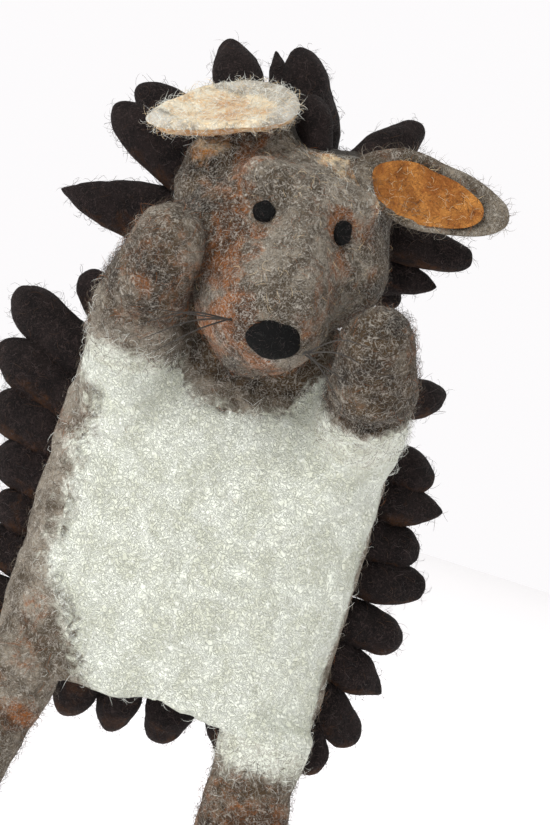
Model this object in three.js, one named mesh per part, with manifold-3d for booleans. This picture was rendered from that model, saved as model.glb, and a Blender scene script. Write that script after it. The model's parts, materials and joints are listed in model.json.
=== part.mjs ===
// Felted hedgehog glove puppet, millimetres, +Z towards the head, the face looks along -Y.
// The origin is the middle of the hem, where the hand goes in.
// "right" and "left" are the puppet's own sides: its right side is at -X.
import * as THREE from 'three';
import { mergeVertices } from 'three/addons/utils/BufferGeometryUtils.js';
import Module from 'manifold-3d';

const wasm = await Module();
wasm.setup();

// ---- Driving dimensions, mm ----
const bodyHalfWidth = 75;
const bodyHalfDepth = 25;
const bodyTop = 157;
const shoulderStart = 112;
const feltWall = 3.2;
const layerGap = 0.3;
const headRadius = 47;
const headHeight = 212;
const headForward = -12;
const muzzleRadius = 28;
const muzzleReach = 46;
const muzzlePitch = 37;
const headYaw = 10.5;
const neckRadius = 15;
const neckBallRadius = 19;
const neckBallHeight = 176;
const neckBack = 2;
const fingerRadius = 11;
const sleeveRadius = 19.6;
const shoulderBallRadius = 20.5;
const pawRadius = 20.6;
const pawTipRadius = 18.4;
const legHalfWidth = 21.5;
const legHalfDepth = 10.5;
const legLength = 78;
const legSide = 55.5;
const hipForward = -14;
const quillRadius = 7.4;
const quillLength = 37;
const quillRowCount = 9;
const quillRowPitch = 18.6;
const topRowDrop = 2.7; // middle of the top row below bodyTop, so it stays with the neck and the sleeves
const bandThickness = 3;
const whiskerRadius = 0.5;

const rad = THREE.MathUtils.degToRad;
const up = new THREE.Vector3(0, 1, 0);

function vec(x, y, z) {
  return new THREE.Vector3(x, y, z);
}

// Turns a closed three.js geometry into a solid that can be joined and cut.
function solid(geometry) {
  const bare = geometry.clone();
  bare.deleteAttribute('normal');
  bare.deleteAttribute('uv');
  const merged = mergeVertices(bare, 1e-4);
  const vertProperties = new Float32Array(merged.attributes.position.array);
  const triVerts = new Uint32Array(merged.index.array);
  return new wasm.Manifold(new wasm.Mesh({ numProp: 3, vertProperties, triVerts }));
}

// Turns a solid back into a named mesh with its own wool colour.
function wool(name, body, colour, roughness = 0.95) {
  const mesh = body.getMesh();
  const geometry = new THREE.BufferGeometry();
  geometry.setAttribute('position', new THREE.BufferAttribute(new Float32Array(mesh.vertProperties), 3));
  geometry.setIndex(new THREE.BufferAttribute(new Uint32Array(mesh.triVerts), 1));
  geometry.computeVertexNormals();
  const material = new THREE.MeshStandardMaterial({ color: colour, roughness, metalness: 0 });
  const result = new THREE.Mesh(geometry, material);
  result.name = name;
  return result;
}

// A shape turned round the line from a start point along a direction; the profile is
// a list of [radius, distance along the line] that starts and ends on the line.
function turned(profile, start, direction, sides) {
  const points = profile.map(([radius, along]) => new THREE.Vector2(radius, along));
  const geometry = new THREE.LatheGeometry(points, sides);
  const turn = new THREE.Quaternion().setFromUnitVectors(up, direction.clone().normalize());
  geometry.applyQuaternion(turn);
  geometry.translate(start.x, start.y, start.z);
  return solid(geometry);
}

function ball(centre, radius, across = 20, down = 12) {
  const geometry = new THREE.SphereGeometry(radius, across, down);
  geometry.rotateX(Math.PI / 2);
  geometry.translate(centre.x, centre.y, centre.z);
  return solid(geometry);
}

function block(low, high) {
  const size = high.clone().sub(low);
  const geometry = new THREE.BoxGeometry(size.x, size.y, size.z);
  const centre = low.clone().add(high).multiplyScalar(0.5);
  geometry.translate(centre.x, centre.y, centre.z);
  return solid(geometry);
}

// A rounded finger: a ball at each end and a taper between them.
function fingerShape(from, to, startRadius, endRadius, sides = 18) {
  const length = from.distanceTo(to);
  const profile = [[0, -startRadius]];
  for (let step = 1; step <= 4; step += 1) {
    const angle = rad(-90 + step * 22.5);
    profile.push([startRadius * Math.cos(angle), startRadius * Math.sin(angle)]);
  }
  for (let step = 0; step < 4; step += 1) {
    const angle = rad(step * 22.5);
    profile.push([endRadius * Math.cos(angle), length + endRadius * Math.sin(angle)]);
  }
  profile.push([0, length + endRadius]);
  return turned(profile, from, to.clone().sub(from), sides);
}

// ---- The glove: a flattened felt bag with a neck hole, two arm holes and an open hem ----
function shoulderFactor(z) {
  const rise = Math.max(0, (z - shoulderStart) / (bodyTop + 4 - shoulderStart));
  return (1 - rise ** 2.6) ** (1 / 2.6);
}

// The bag's outside, grown or shrunk by an amount, from one height to another.
function bag(grow, fromZ, toZ, sides = 32, rings = 7) {
  const geometry = new THREE.CylinderGeometry(1, 1, 1, sides, rings);
  geometry.rotateX(Math.PI / 2);
  const places = geometry.attributes.position;
  for (let index = 0; index < places.count; index += 1) {
    const round = Math.atan2(places.getY(index), places.getX(index));
    const centre = Math.hypot(places.getX(index), places.getY(index));
    const share = places.getZ(index) + 0.5;
    const z = fromZ + (toZ - fromZ) * (1 - (1 - share) ** 1.7);
    const factor = shoulderFactor(z - grow * 0.9);
    const squareX = Math.sign(Math.cos(round)) * Math.abs(Math.cos(round)) ** 0.77;
    const squareY = Math.sign(Math.sin(round)) * Math.abs(Math.sin(round)) ** 0.77;
    const x = centre * squareX * (bodyHalfWidth * factor + grow);
    const y = centre * squareY * (bodyHalfDepth * factor + grow);
    places.setXYZ(index, x, y, z);
  }
  return solid(geometry);
}

// ---- Arms: shoulder, paw joint and paw tip of each side ----
const arms = {
  right: { shoulder: vec(-54, -10, 142), wrist: vec(-33.4 - pawRadius, -42, 173), tip: vec(-30.9 - pawRadius, -61, 195.5), opens: -1 },
  left: { shoulder: vec(54, -12, 140), wrist: vec(35.4 + pawRadius, -43, 157), tip: vec(33.4 + pawRadius, -62, 178), opens: 1 },
};

function armDirection(arm) {
  return arm.wrist.clone().sub(arm.shoulder).normalize();
}

// The arm swings sideways about this line, away from the face.
function shoulderAxis(arm) {
  const direction = armDirection(arm);
  return vec(arm.opens, 0, 0).cross(direction).negate().normalize();
}

function shoulderClearance(arm, gap) {
  let cut = ball(arm.shoulder, shoulderBallRadius + gap);
  for (const angle of [0, 12, 24, 36]) {
    const reach = arm.wrist.clone().sub(arm.shoulder).applyAxisAngle(shoulderAxis(arm), rad(angle));
    const end = arm.shoulder.clone().add(reach);
    cut = cut.add(fingerShape(arm.shoulder, end, sleeveRadius + gap, sleeveRadius + gap));
  }
  return cut;
}

const rightClear = shoulderClearance(arms.right, 0.6);
const leftClear = shoulderClearance(arms.left, 0.6);
const neckFoot = vec(0, neckBack, bodyTop - 16);
const neckHole = turned(
  [[0, 0], [neckRadius + 0.5, 0], [neckRadius + 0.5, 60], [0, 60]], neckFoot, vec(0, 0, 1), 20);
const glove = bag(0, 0, bodyTop)
  .subtract(bag(-feltWall, -10, bodyTop - feltWall))
  .subtract(neckHole)
  .subtract(rightClear)
  .subtract(leftClear);
const halfGap = layerGap / 2;
const frontHalf = block(vec(-200, -200, -50), vec(200, -halfGap, 300));
const backHalf = block(vec(-200, halfGap, -50), vec(200, 200, 300));
const frontPanel = glove.intersect(frontHalf);
const rightRootClear = ball(arms.right.shoulder, shoulderBallRadius + 0.6);
const leftRootClear = ball(arms.left.shoulder, shoulderBallRadius + 0.6);
const backPanel = glove.intersect(backHalf);

// The white belly is a layer of wool lying on the front panel.
const bellyOutline = new THREE.Shape();
bellyOutline.moveTo(-50, 3);
bellyOutline.bezierCurveTo(-20, 1, 40, 1, 66, 3);
bellyOutline.bezierCurveTo(72, 40, 71, 90, 69, 128);
bellyOutline.bezierCurveTo(55, 143, 20, 147, 0, 146);
bellyOutline.bezierCurveTo(-25, 147, -50, 140, -61, 128);
bellyOutline.bezierCurveTo(-61, 90, -58, 40, -50, 3);
const bellyBlock = new THREE.ExtrudeGeometry(bellyOutline, { depth: 60, bevelEnabled: false, curveSegments: 8 });
bellyBlock.rotateX(Math.PI / 2);
const belly = bag(2.3, 0, bodyTop + 2)
  .subtract(bag(layerGap, -5, bodyTop + layerGap))
  .intersect(solid(bellyBlock))
  .intersect(block(vec(-200, -200, -50), vec(200, -6, 300)))
  .subtract(neckHole)
  .subtract(shoulderClearance(arms.right, 0.9))
  .subtract(shoulderClearance(arms.left, 0.9));

// ---- Neck: a finger tube that turns in the neck hole and ends in a ball ----
const ballCentre = vec(0, neckBack, neckBallHeight);
function neckShape() {
  const start = neckBallHeight - neckFoot.z;
  const profile = [[0, 0], [neckRadius, 0]];
  const low = Math.acos(neckRadius / neckBallRadius);
  const high = Math.acos((fingerRadius + 2) / neckBallRadius);
  for (let step = 0; step <= 6; step += 1) {
    const angle = -low + (low + high) * step / 6;
    profile.push([neckBallRadius * Math.cos(angle), start + neckBallRadius * Math.sin(angle)]);
  }
  profile.push([0, start + neckBallRadius * Math.sin(high)]);
  const bore = turned([[0, -5], [fingerRadius, -5], [fingerRadius, 90], [0, 90]], neckFoot, vec(0, 0, 1), 20);
  return turned(profile, neckFoot, vec(0, 0, 1), 20).subtract(bore);
}

// ---- Head: a ball drawn out into a muzzle, with a pocket for the finger ----
const headCentre = vec(-2, headForward, headHeight);
const muzzleDirection = vec(
  Math.sin(rad(headYaw)) * Math.cos(rad(muzzlePitch)),
  -Math.cos(rad(headYaw)) * Math.cos(rad(muzzlePitch)),
  -Math.sin(rad(muzzlePitch)));
const muzzleCentre = headCentre.clone().addScaledVector(muzzleDirection, muzzleReach);

function headSolid(grow) {
  const ballRadius = headRadius + grow;
  const tipRadius = muzzleRadius + grow;
  const lean = Math.asin((ballRadius - tipRadius) / muzzleReach);
  const profile = [[0, -ballRadius]];
  for (let step = 1; step <= 9; step += 1) {
    const angle = -Math.PI / 2 + (Math.PI / 2 + lean) * step / 9;
    profile.push([ballRadius * Math.cos(angle), ballRadius * Math.sin(angle)]);
  }
  for (let step = 0; step < 5; step += 1) {
    const angle = lean + (Math.PI / 2 - lean) * step / 5;
    profile.push([tipRadius * Math.cos(angle), muzzleReach + tipRadius * Math.sin(angle)]);
  }
  profile.push([0, muzzleReach + tipRadius]);
  return turned(profile, headCentre, muzzleDirection, 26);
}

const headSkin = headSolid(layerGap);
const fingerPocket = fingerShape(ballCentre, vec(0, neckBack, 217), fingerRadius, fingerRadius, 16);
const head = headSolid(0)
  .subtract(ball(ballCentre, neckBallRadius + 0.9))
  .subtract(fingerPocket);

// Eyes and nose are felt pads laid on the head.
function pad(centre, outward, halfWide, halfHigh, halfThick, sides = 14) {
  const geometry = new THREE.SphereGeometry(1, sides, 8);
  geometry.rotateX(Math.PI / 2);
  geometry.scale(halfWide, halfThick, halfHigh);
  const turn = new THREE.Quaternion().setFromUnitVectors(vec(0, -1, 0), outward.clone().normalize());
  geometry.applyQuaternion(turn);
  geometry.translate(centre.x, centre.y, centre.z);
  return solid(geometry).subtract(headSkin);
}

function onBall(centre, radius, x, z) {
  const across = x - centre.x;
  const rise = z - centre.z;
  return vec(x, centre.y - Math.sqrt(radius ** 2 - across ** 2 - rise ** 2), z);
}

const rightEyeAt = onBall(headCentre, headRadius, -12.5, 220.5);
const leftEyeAt = onBall(headCentre, headRadius, 24, 222.5);
const noseOut = vec(0.13, -0.83, -0.55).normalize();
const noseAt = muzzleCentre.clone().addScaledVector(noseOut, muzzleRadius);

// ---- Whiskers: three stiff bristles standing in one felted root ----
function whiskers(outward, tips) {
  const direction = outward.clone().normalize();
  const root = muzzleCentre.clone().addScaledVector(direction, muzzleRadius + 0.3);
  let tuft = pad(root, direction, 4, 4, 2, 9);
  const start = root.clone().addScaledVector(direction, 1);
  for (const tip of tips) {
    const along = tip.clone().sub(start);
    const length = along.length();
    const profile = [[0, 0], [whiskerRadius, 0], [whiskerRadius * 0.6, length], [0, length]];
    tuft = tuft.add(turned(profile, start, along, 5));
  }
  return tuft;
}

// ---- Ears: a leaf-shaped felt disc on a small root, lined on the inner face ----
function leaf(centre, along, across, halfLong, halfWide, thick) {
  const profile = [[0, -thick / 2], [0.8, -thick / 2], [1, -thick / 6], [1, thick / 6], [0.8, thick / 2], [0, thick / 2]];
  const geometry = new THREE.LatheGeometry(profile.map(([r, t]) => new THREE.Vector2(r, t)), 20);
  const normal = across.clone().cross(along).normalize();
  const place = new THREE.Matrix4().makeBasis(
    along.clone().multiplyScalar(halfLong), normal, across.clone().multiplyScalar(halfWide));
  geometry.applyMatrix4(place);
  geometry.translate(centre.x, centre.y, centre.z);
  return solid(geometry);
}

const ears = {
  right: { centre: vec(-45, -27, 260), along: vec(-0.9065, -0.1001, -0.4102), across: vec(0.2589, -0.8991, -0.3528),
    halfLong: 27, halfWide: 23, root: vec(-21, -23, 264), rootRadius: 8.6 },
  left: { centre: vec(62.5, -18, 253), along: vec(0.9982, 0, -0.06), across: vec(0.06, 0, 0.9982),
    halfLong: 26, halfWide: 16, root: vec(37.2, -17.5, 249.6), rootRadius: 7 },
};
const earThick = 4.4;

function earShape(ear) {
  return leaf(ear.centre, ear.along, ear.across, ear.halfLong, ear.halfWide, earThick)
    .add(ball(ear.root, ear.rootRadius, 14, 8))
    .subtract(headSkin);
}

function earLining(ear, side) {
  const normal = ear.across.clone().cross(ear.along).normalize().multiplyScalar(side);
  const shift = earThick / 2 + 0.3 + 0.8;
  const centre = ear.centre.clone().addScaledVector(normal, shift).addScaledVector(ear.along, 4.5);
  return leaf(centre, ear.along, ear.across, ear.halfLong * 0.72, ear.halfWide * 0.72, 1.6);
}

// ---- Sleeve and paw of one arm, both hollow for a finger ----
function sleeveShape(arm) {
  const direction = armDirection(arm);
  const outside = ball(arm.shoulder, shoulderBallRadius)
    .add(fingerShape(arm.shoulder, arm.wrist, sleeveRadius, sleeveRadius));
  const inside = fingerShape(
    arm.shoulder.clone().addScaledVector(direction, -20),
    arm.wrist.clone().addScaledVector(direction, 20),
    sleeveRadius - feltWall, sleeveRadius - feltWall);
  const mouth = turned(
    [[0, -60], [60, -60], [60, -5], [0, -5]], arm.shoulder, direction, 12);
  return outside
    .subtract(inside)
    .subtract(mouth)
    .subtract(ball(arm.wrist, pawRadius + 0.6));
}

function pawShape(arm) {
  const inward = arm.shoulder.clone().sub(arm.wrist);
  const hole = turned([[0, 0], [12.5, 0], [12.5, 50], [0, 50]], arm.wrist, inward, 16);
  const wall = feltWall + 1.4;
  return fingerShape(arm.wrist, arm.tip, pawRadius, pawTipRadius)
    .subtract(fingerShape(arm.wrist, arm.tip, pawRadius - wall, pawTipRadius - wall))
    .subtract(hole);
}

// ---- Legs hang from the front panel's bottom edge ----
const hipHeight = -(legHalfDepth + 1);

// A soft flattened leg: round at the hip line, square-sided below.
function legShape(splay) {
  const outline = new THREE.Shape();
  outline.absarc(0, 0, legHalfDepth, 0, Math.PI, false);
  outline.lineTo(-legHalfDepth, -legLength);
  outline.lineTo(legHalfDepth, -legLength);
  outline.closePath();
  const geometry = new THREE.ExtrudeGeometry(outline, {
    depth: 2 * legHalfWidth - 7, bevelEnabled: true, bevelSize: 3.4, bevelThickness: 3.5,
    bevelOffset: -3.4, bevelSegments: 2, curveSegments: 10 });
  geometry.translate(0, 0, 3.5 - legHalfWidth);
  geometry.rotateY(Math.PI / 2);
  geometry.rotateX(Math.PI / 2);
  geometry.rotateZ(Math.PI);
  const places = geometry.attributes.position;
  for (let index = 0; index < places.count; index += 1) {
    const drop = Math.max(0, -places.getZ(index));
    places.setX(index, places.getX(index) + drop * splay);
  }
  return geometry;
}

function legParts(side, splay) {
  const hip = vec(side * legSide, hipForward, hipHeight);
  const geometry = legShape(splay);
  geometry.translate(hip.x, hip.y, hip.z);
  const ankle = vec(hip.x + splay * legLength, hip.y, hip.z - legLength - 0.3);
  const foot = new THREE.SphereGeometry(1, 18, 12);
  foot.rotateX(Math.PI / 2);
  foot.scale(legHalfWidth + 1, 20, 17);
  foot.translate(ankle.x, ankle.y - 8, ankle.z);
  const below = block(vec(-300, -200, -300), vec(300, 200, ankle.z));
  return { leg: solid(geometry), foot: solid(foot).intersect(below) };
}

const rightLeg = legParts(-1, -0.24);
const leftLeg = legParts(1, 0.02);

// ---- Quills: thick wool fingers standing in bands of felt ----
function quill(root, direction, length, radius = quillRadius) {
  const profile = [
    [0, -1.2], [radius * 0.86, -1.2], [radius, length * 0.4], [radius * 0.78, length * 0.8], [0, length]];
  return turned(profile, root, direction, 6);
}

// One band across the back, with its quills; the end quills stand out sideways.
const bandOuter = bag(layerGap + bandThickness, 0, bodyTop);
const bagSkin = bag(layerGap, 0, bodyTop);

function backRow(index, rightEnd, leftEnd) {
  const height = bodyTop - topRowDrop - (quillRowCount - 1 - index) * quillRowPitch;
  const factor = shoulderFactor(height);
  const wide = bodyHalfWidth * factor;
  const deep = bodyHalfDepth * factor;
  const nearTop = index === quillRowCount - 1;
  const count = nearTop ? 2 : 5 + (index + 1) % 2;
  const reach = (wide - 20 * factor) * (count === 5 ? 0.82 : 1);
  let row = bandOuter.intersect(block(vec(-200, 3, height - 4.5), vec(200, 60, height + (nearTop ? 1 : 4.5))));
  for (let place = 0; place < count; place += 1) {
    const x = reach * (-1 + 2 * place / (count - 1));
    const y = deep * (1 - Math.abs(x / wide) ** 2.6) ** (1 / 2.6);
    const lift = index === 0 ? -1.2 : 0.22 + 0.03 * ((place * 5 + index * 3) % 4);
    row = row.add(quill(vec(x, y + 1.6, height), vec(x / 105, 0.9, lift), quillLength));
  }
  for (const [side, end] of [[-1, rightEnd], [1, leftEnd]]) {
    const root = vec(side * (wide - 2.5), nearTop ? 17 : 11, height);
    const direction = vec(side * Math.cos(rad(end.lean)), nearTop ? 0.35 : 0.2, Math.sin(rad(end.lean)));
    row = row.add(quill(root, direction, end.length));
  }
  return row.subtract(bagSkin).subtract(neckHole).subtract(rightRootClear).subtract(leftRootClear);
}

// The lean (degrees above level) and length of the two end quills of each row.
const rightEnds = [
  { lean: -35, length: 24 }, { lean: -12, length: 26 }, { lean: 4, length: 22 },
  { lean: 14, length: 20 }, { lean: 12, length: 27 }, { lean: 17, length: 36 },
  { lean: 24, length: 45 }, { lean: 23, length: 52 }, { lean: 24, length: 48 }];
const leftEnds = [
  { lean: -60, length: 18 }, { lean: -37, length: 30 }, { lean: -18, length: 31 },
  { lean: -15, length: 30 }, { lean: 2, length: 32 }, { lean: -4, length: 25 },
  { lean: 0, length: 31 }, { lean: -7, length: 27 }, { lean: 17.5, length: 52 }];

// ---- Head quills: rings round the back of the head ----
const crown = vec(0, Math.cos(rad(35)), Math.sin(rad(35)));
const crownUp = vec(0, -Math.sin(rad(35)), Math.cos(rad(35)));

// A ring between two shares of the head radius along the crown line, with quills rooted at one polar angle.
// Each quill's tip is given from the head's middle, in head radii, so that the coat grows with the head.
function headRing(polar, low, high, quills) {
  const [from, to] = [low * headRadius, high * headRadius];
  const slab = turned([[0, from], [2 * headRadius, from], [2 * headRadius, to], [0, to]], headCentre, crown, 12);
  let ring = ball(headCentre, headRadius + layerGap + bandThickness, 24, 14).intersect(slab);
  for (const [azimuth, x, y, z, thickness] of quills) {
    const out = crown.clone().multiplyScalar(Math.cos(rad(polar)))
      .addScaledVector(crownUp, Math.sin(rad(polar)) * Math.cos(rad(azimuth)))
      .addScaledVector(vec(1, 0, 0), Math.sin(rad(polar)) * Math.sin(rad(azimuth)));
    const root = headCentre.clone().addScaledVector(out, headRadius + 1.8);
    const along = headCentre.clone().addScaledVector(vec(x, y, z), headRadius).sub(root);
    ring = ring.add(quill(root, along, along.length(), quillRadius * thickness));
  }
  return ring.subtract(headSkin);
}

// Each head quill: place round the ring in degrees, tip across, back and up in head radii, and thickness.
const napeBlock = block(vec(-200, -50, 100), vec(200, 100, 203));
const outerRing = headRing(60, 0.383, 0.617, [
  [-110, -2.2, 0.64, -0.13, 1], [-82, -1.93, 0.55, 0.76, 1], [-38, -1.05, 0.66, 1.82, 1],
  [4, -0.15, 0.09, 1.46, 0.75], [32, 0.92, 0.51, 1.51, 1], [80, 1.79, 0.57, 0.54, 1],
  [108, 1.55, 0.51, 0.2, 1]])
  .subtract(napeBlock)
  .subtract(ball(ears.right.root, ears.right.rootRadius + 0.8, 14, 8))
  .subtract(ball(ears.left.root, ears.left.rootRadius + 0.8, 14, 8));
const middleRing = headRing(34, 0.713, 0.943, [
  [-20, -0.62, 0.86, 2.02, 0.8], [10, -0.32, 0.72, 2.08, 1], [-67, -1.75, 0.98, 1.26, 1],
  [70, 0.98, 1.0, 0.92, 1], [-112, -1.3, 1.26, 0.1, 1], [115, 1.2, 1.1, 0.1, 1],
  [-156, -0.4, 1.66, 0.1, 1], [158, 0.45, 1.62, 0.12, 1]]);
const innerRing = headRing(9, 0.957, 1.277, [
  [-10, -0.1, 1.4, 1.1, 1], [110, 0.35, 1.62, 0.8, 1], [-120, -0.45, 1.6, 0.78, 1]]);

// ---- Assembly ----
const grey = 0x8f8678;
const paleWool = 0xd5d8ca;
const darkWool = 0x2b2221;
const orangeWool = 0x9a6a38;
const creamWool = 0xe6d8b8;
const blackFelt = 0x090b0a;
const bristle = 0x3a3735;

const group = new THREE.Group();
group.add(wool('front_panel', frontPanel, grey));
group.add(wool('back_panel', backPanel, 0x4a3c33));
group.add(wool('belly_patch', belly, paleWool));
group.add(wool('neck', neckShape(), grey));
group.add(wool('head', head, grey));
group.add(wool('right_eye', pad(rightEyeAt, rightEyeAt.clone().sub(headCentre), 5.6, 5.9, 2.6), blackFelt, 0.7));
group.add(wool('left_eye', pad(leftEyeAt, leftEyeAt.clone().sub(headCentre), 5.6, 5.9, 2.6), blackFelt, 0.7));
group.add(wool('nose', pad(noseAt, noseOut, 12, 9.6, 6), blackFelt, 0.8));
group.add(wool('right_whiskers', whiskers(vec(-0.55, -0.75, -0.35),
  [vec(-42, -94, 155), vec(-40, -98, 166), vec(-29, -92, 147)]), bristle, 0.6));
group.add(wool('left_whiskers', whiskers(vec(0.72, -0.6, -0.35),
  [vec(46, -100, 178), vec(48, -101, 168), vec(40, -97, 155)]), bristle, 0.6));
for (const [side, liningSide] of [['right', 1], ['left', -1]]) {
  const colour = side === 'right' ? creamWool : grey;
  group.add(wool(`${side}_ear`, earShape(ears[side]), colour));
  group.add(wool(`${side}_ear_lining`, earLining(ears[side], liningSide), orangeWool));
}
for (const side of ['right', 'left']) {
  group.add(wool(`${side}_sleeve`, sleeveShape(arms[side]), grey));
  group.add(wool(`${side}_paw`, pawShape(arms[side]), 0x6b5a42));
}
for (const [side, parts] of [['right', rightLeg], ['left', leftLeg]]) {
  group.add(wool(`${side}_leg`, parts.leg, grey));
  group.add(wool(`${side}_foot`, parts.foot, 0x6b5a42));
}
for (let index = 0; index < quillRowCount; index += 1) {
  group.add(wool(`back_quill_row_${index + 1}`, backRow(index, rightEnds[index], leftEnds[index]), darkWool));
}
group.add(wool('head_quill_ring_outer', outerRing, darkWool));
group.add(wool('head_quill_ring_middle', middleRing, darkWool));
group.add(wool('head_quill_ring_inner', innerRing, darkWool));

export default group;
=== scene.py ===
# %% [markdown]
# # A hedgehog hand puppet in felted wool
# The puppet is made almost wholly of felt: wool laid in layers, wetted and rubbed until it holds together. The body
# is a flat bag that takes a hand, the arms and legs grow out of it, the head is a ball drawn out into a muzzle, and
# the back is covered with thick soft quills. The CAD model fixes where every piece is and how it moves. Here each
# piece gets its real shape, its fuzz and its colours.

# %% Load the frame
import json
import math
import bpy
import mathutils
import numpy as np
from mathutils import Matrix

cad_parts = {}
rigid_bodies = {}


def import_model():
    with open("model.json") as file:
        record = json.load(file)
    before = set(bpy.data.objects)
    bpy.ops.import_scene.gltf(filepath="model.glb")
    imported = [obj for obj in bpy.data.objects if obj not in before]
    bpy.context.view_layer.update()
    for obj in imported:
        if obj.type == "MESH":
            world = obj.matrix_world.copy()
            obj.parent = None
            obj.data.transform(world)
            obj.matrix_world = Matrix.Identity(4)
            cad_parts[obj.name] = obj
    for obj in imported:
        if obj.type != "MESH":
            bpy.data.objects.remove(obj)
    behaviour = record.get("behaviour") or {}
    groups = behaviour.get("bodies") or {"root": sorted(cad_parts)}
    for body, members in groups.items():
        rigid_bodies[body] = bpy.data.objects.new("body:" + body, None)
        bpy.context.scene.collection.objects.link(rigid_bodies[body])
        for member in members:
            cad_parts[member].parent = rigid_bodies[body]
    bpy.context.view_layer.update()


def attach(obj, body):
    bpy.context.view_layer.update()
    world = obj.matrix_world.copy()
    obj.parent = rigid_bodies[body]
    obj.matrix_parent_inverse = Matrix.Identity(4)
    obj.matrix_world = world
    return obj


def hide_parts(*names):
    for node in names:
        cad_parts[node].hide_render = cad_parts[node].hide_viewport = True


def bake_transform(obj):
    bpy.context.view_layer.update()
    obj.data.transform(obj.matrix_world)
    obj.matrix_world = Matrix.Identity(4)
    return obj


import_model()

MM = 0.001

# %% [markdown]
# ## Noise for hand-made shapes
# Nothing on felt is quite flat or quite round, so nearly every surface below is pushed in and out a little. A lattice
# noise does that well in numpy: random heights sit on a cubic grid and are blended smoothly between. It needs no
# image, gives the same result each time, and works on all points at once.

# %% Lattice noise
def lattice_noise(points, cell, seed):
    """Smooth noise from -1 to 1: random heights on a cubic grid of the given cell, blended by 3t^2 - 2t^3."""
    scaled = points / cell + seed * 7.317
    corner = np.floor(scaled).astype(np.int64)
    share = scaled - corner
    share = share * share * (3 - 2 * share)
    total = np.zeros(len(points))
    for step in np.ndindex(2, 2, 2):
        at = corner + np.array(step)
        key = at[:, 0] * 374761393 + at[:, 1] * 668265263 + at[:, 2] * 1442695041 + seed * 974711
        key = (key ^ (key >> 13)) * 1274126177
        key = key ^ (key >> 16)
        weight = np.prod(np.where(np.array(step) == 1, share, 1 - share), axis=1)
        total += weight * ((key & 0xFFFF) / 32767.5 - 1)
    return total


def smooth_step(value, low, high):
    """0 below low, 1 above high, and 3t^2 - 2t^3 between them."""
    share = np.clip((value - low) / (high - low), 0, 1)
    return share * share * (3 - 2 * share)


def unit(vectors):
    """Each vector divided by its length."""
    vectors = np.asarray(vectors, float)
    return vectors / np.maximum(np.linalg.norm(vectors, axis=-1, keepdims=True), 1e-12)


print("noise at the hem's middle:", lattice_noise(np.zeros((1, 3)), 10, 1))

# %% [markdown]
# ## Meshes from grids
# Most pieces are closed skins: rings of points, one after another, with a point closing each end. A small class keeps
# the points in millimetres with their faces, because several steps below (splitting, fuzz, colour) need them as
# arrays. The Blender mesh is made from it at the very end, with foreach_set.

# %% A skin and its faces
class Skin:
    """Points in mm, quads and triangles, and the normal at each point."""

    def __init__(self, points, quads, tris=None):
        self.points = np.asarray(points, float)
        self.quads = np.asarray(quads, np.int64).reshape(-1, 4)
        self.tris = np.zeros((0, 3), np.int64) if tris is None else np.asarray(tris, np.int64).reshape(-1, 3)
        self.normals = self.point_normals()

    def triangles(self):
        """Every quad cut in two, and the triangles."""
        return np.concatenate([self.quads[:, [0, 1, 2]], self.quads[:, [0, 2, 3]], self.tris])

    def point_normals(self):
        """The sum of the area vectors of the triangles round each point, made one long."""
        corners = self.points[self.triangles()]
        area = np.cross(corners[:, 1] - corners[:, 0], corners[:, 2] - corners[:, 0])
        total = np.zeros_like(self.points)
        for corner in range(3):
            for axis in range(3):
                total[:, axis] += np.bincount(
                    self.triangles()[:, corner], weights=area[:, axis], minlength=len(self.points))
        return unit(total)

    def outward(self):
        """Turns every face round if the skin's volume comes out negative."""
        corners = self.points[self.triangles()]
        volume = np.einsum("ij,ij->i", corners[:, 0], np.cross(corners[:, 1], corners[:, 2])).sum()
        if volume < 0:
            self.quads = self.quads[:, ::-1]
            self.tris = self.tris[:, ::-1]
        self.normals = self.point_normals()
        return self

    def push(self, amount):
        """Moves each point along its normal."""
        self.points = self.points + self.normals * np.asarray(amount)[:, None]
        self.normals = self.point_normals()
        return self


def closed_skin(rings, first, last):
    """Quads between neighbouring rings of a (rings, around, 3) grid, and a fan to the point at each end."""
    count, around, _ = rings.shape
    points = np.concatenate([rings.reshape(-1, 3), [first], [last]])
    index = np.arange(count * around).reshape(count, around)
    beside = np.roll(index, -1, axis=1)
    quads = np.stack([index[:-1], beside[:-1], beside[1:], index[1:]], axis=-1).reshape(-1, 4)
    start = np.stack([np.full(around, count * around), beside[0], index[0]], axis=-1)
    end = np.stack([np.full(around, count * around + 1), index[-1], beside[-1]], axis=-1)
    return Skin(points, quads, np.concatenate([start, end])).outward()


def joined(skins):
    """Several skins as one list of points and faces."""
    points, quads, tris, shift = [], [], [], 0
    for skin in skins:
        points.append(skin.points)
        quads.append(skin.quads + shift)
        tris.append(skin.tris + shift)
        shift += len(skin.points)
    return Skin(np.concatenate(points), np.concatenate(quads), np.concatenate(tris))


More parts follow.
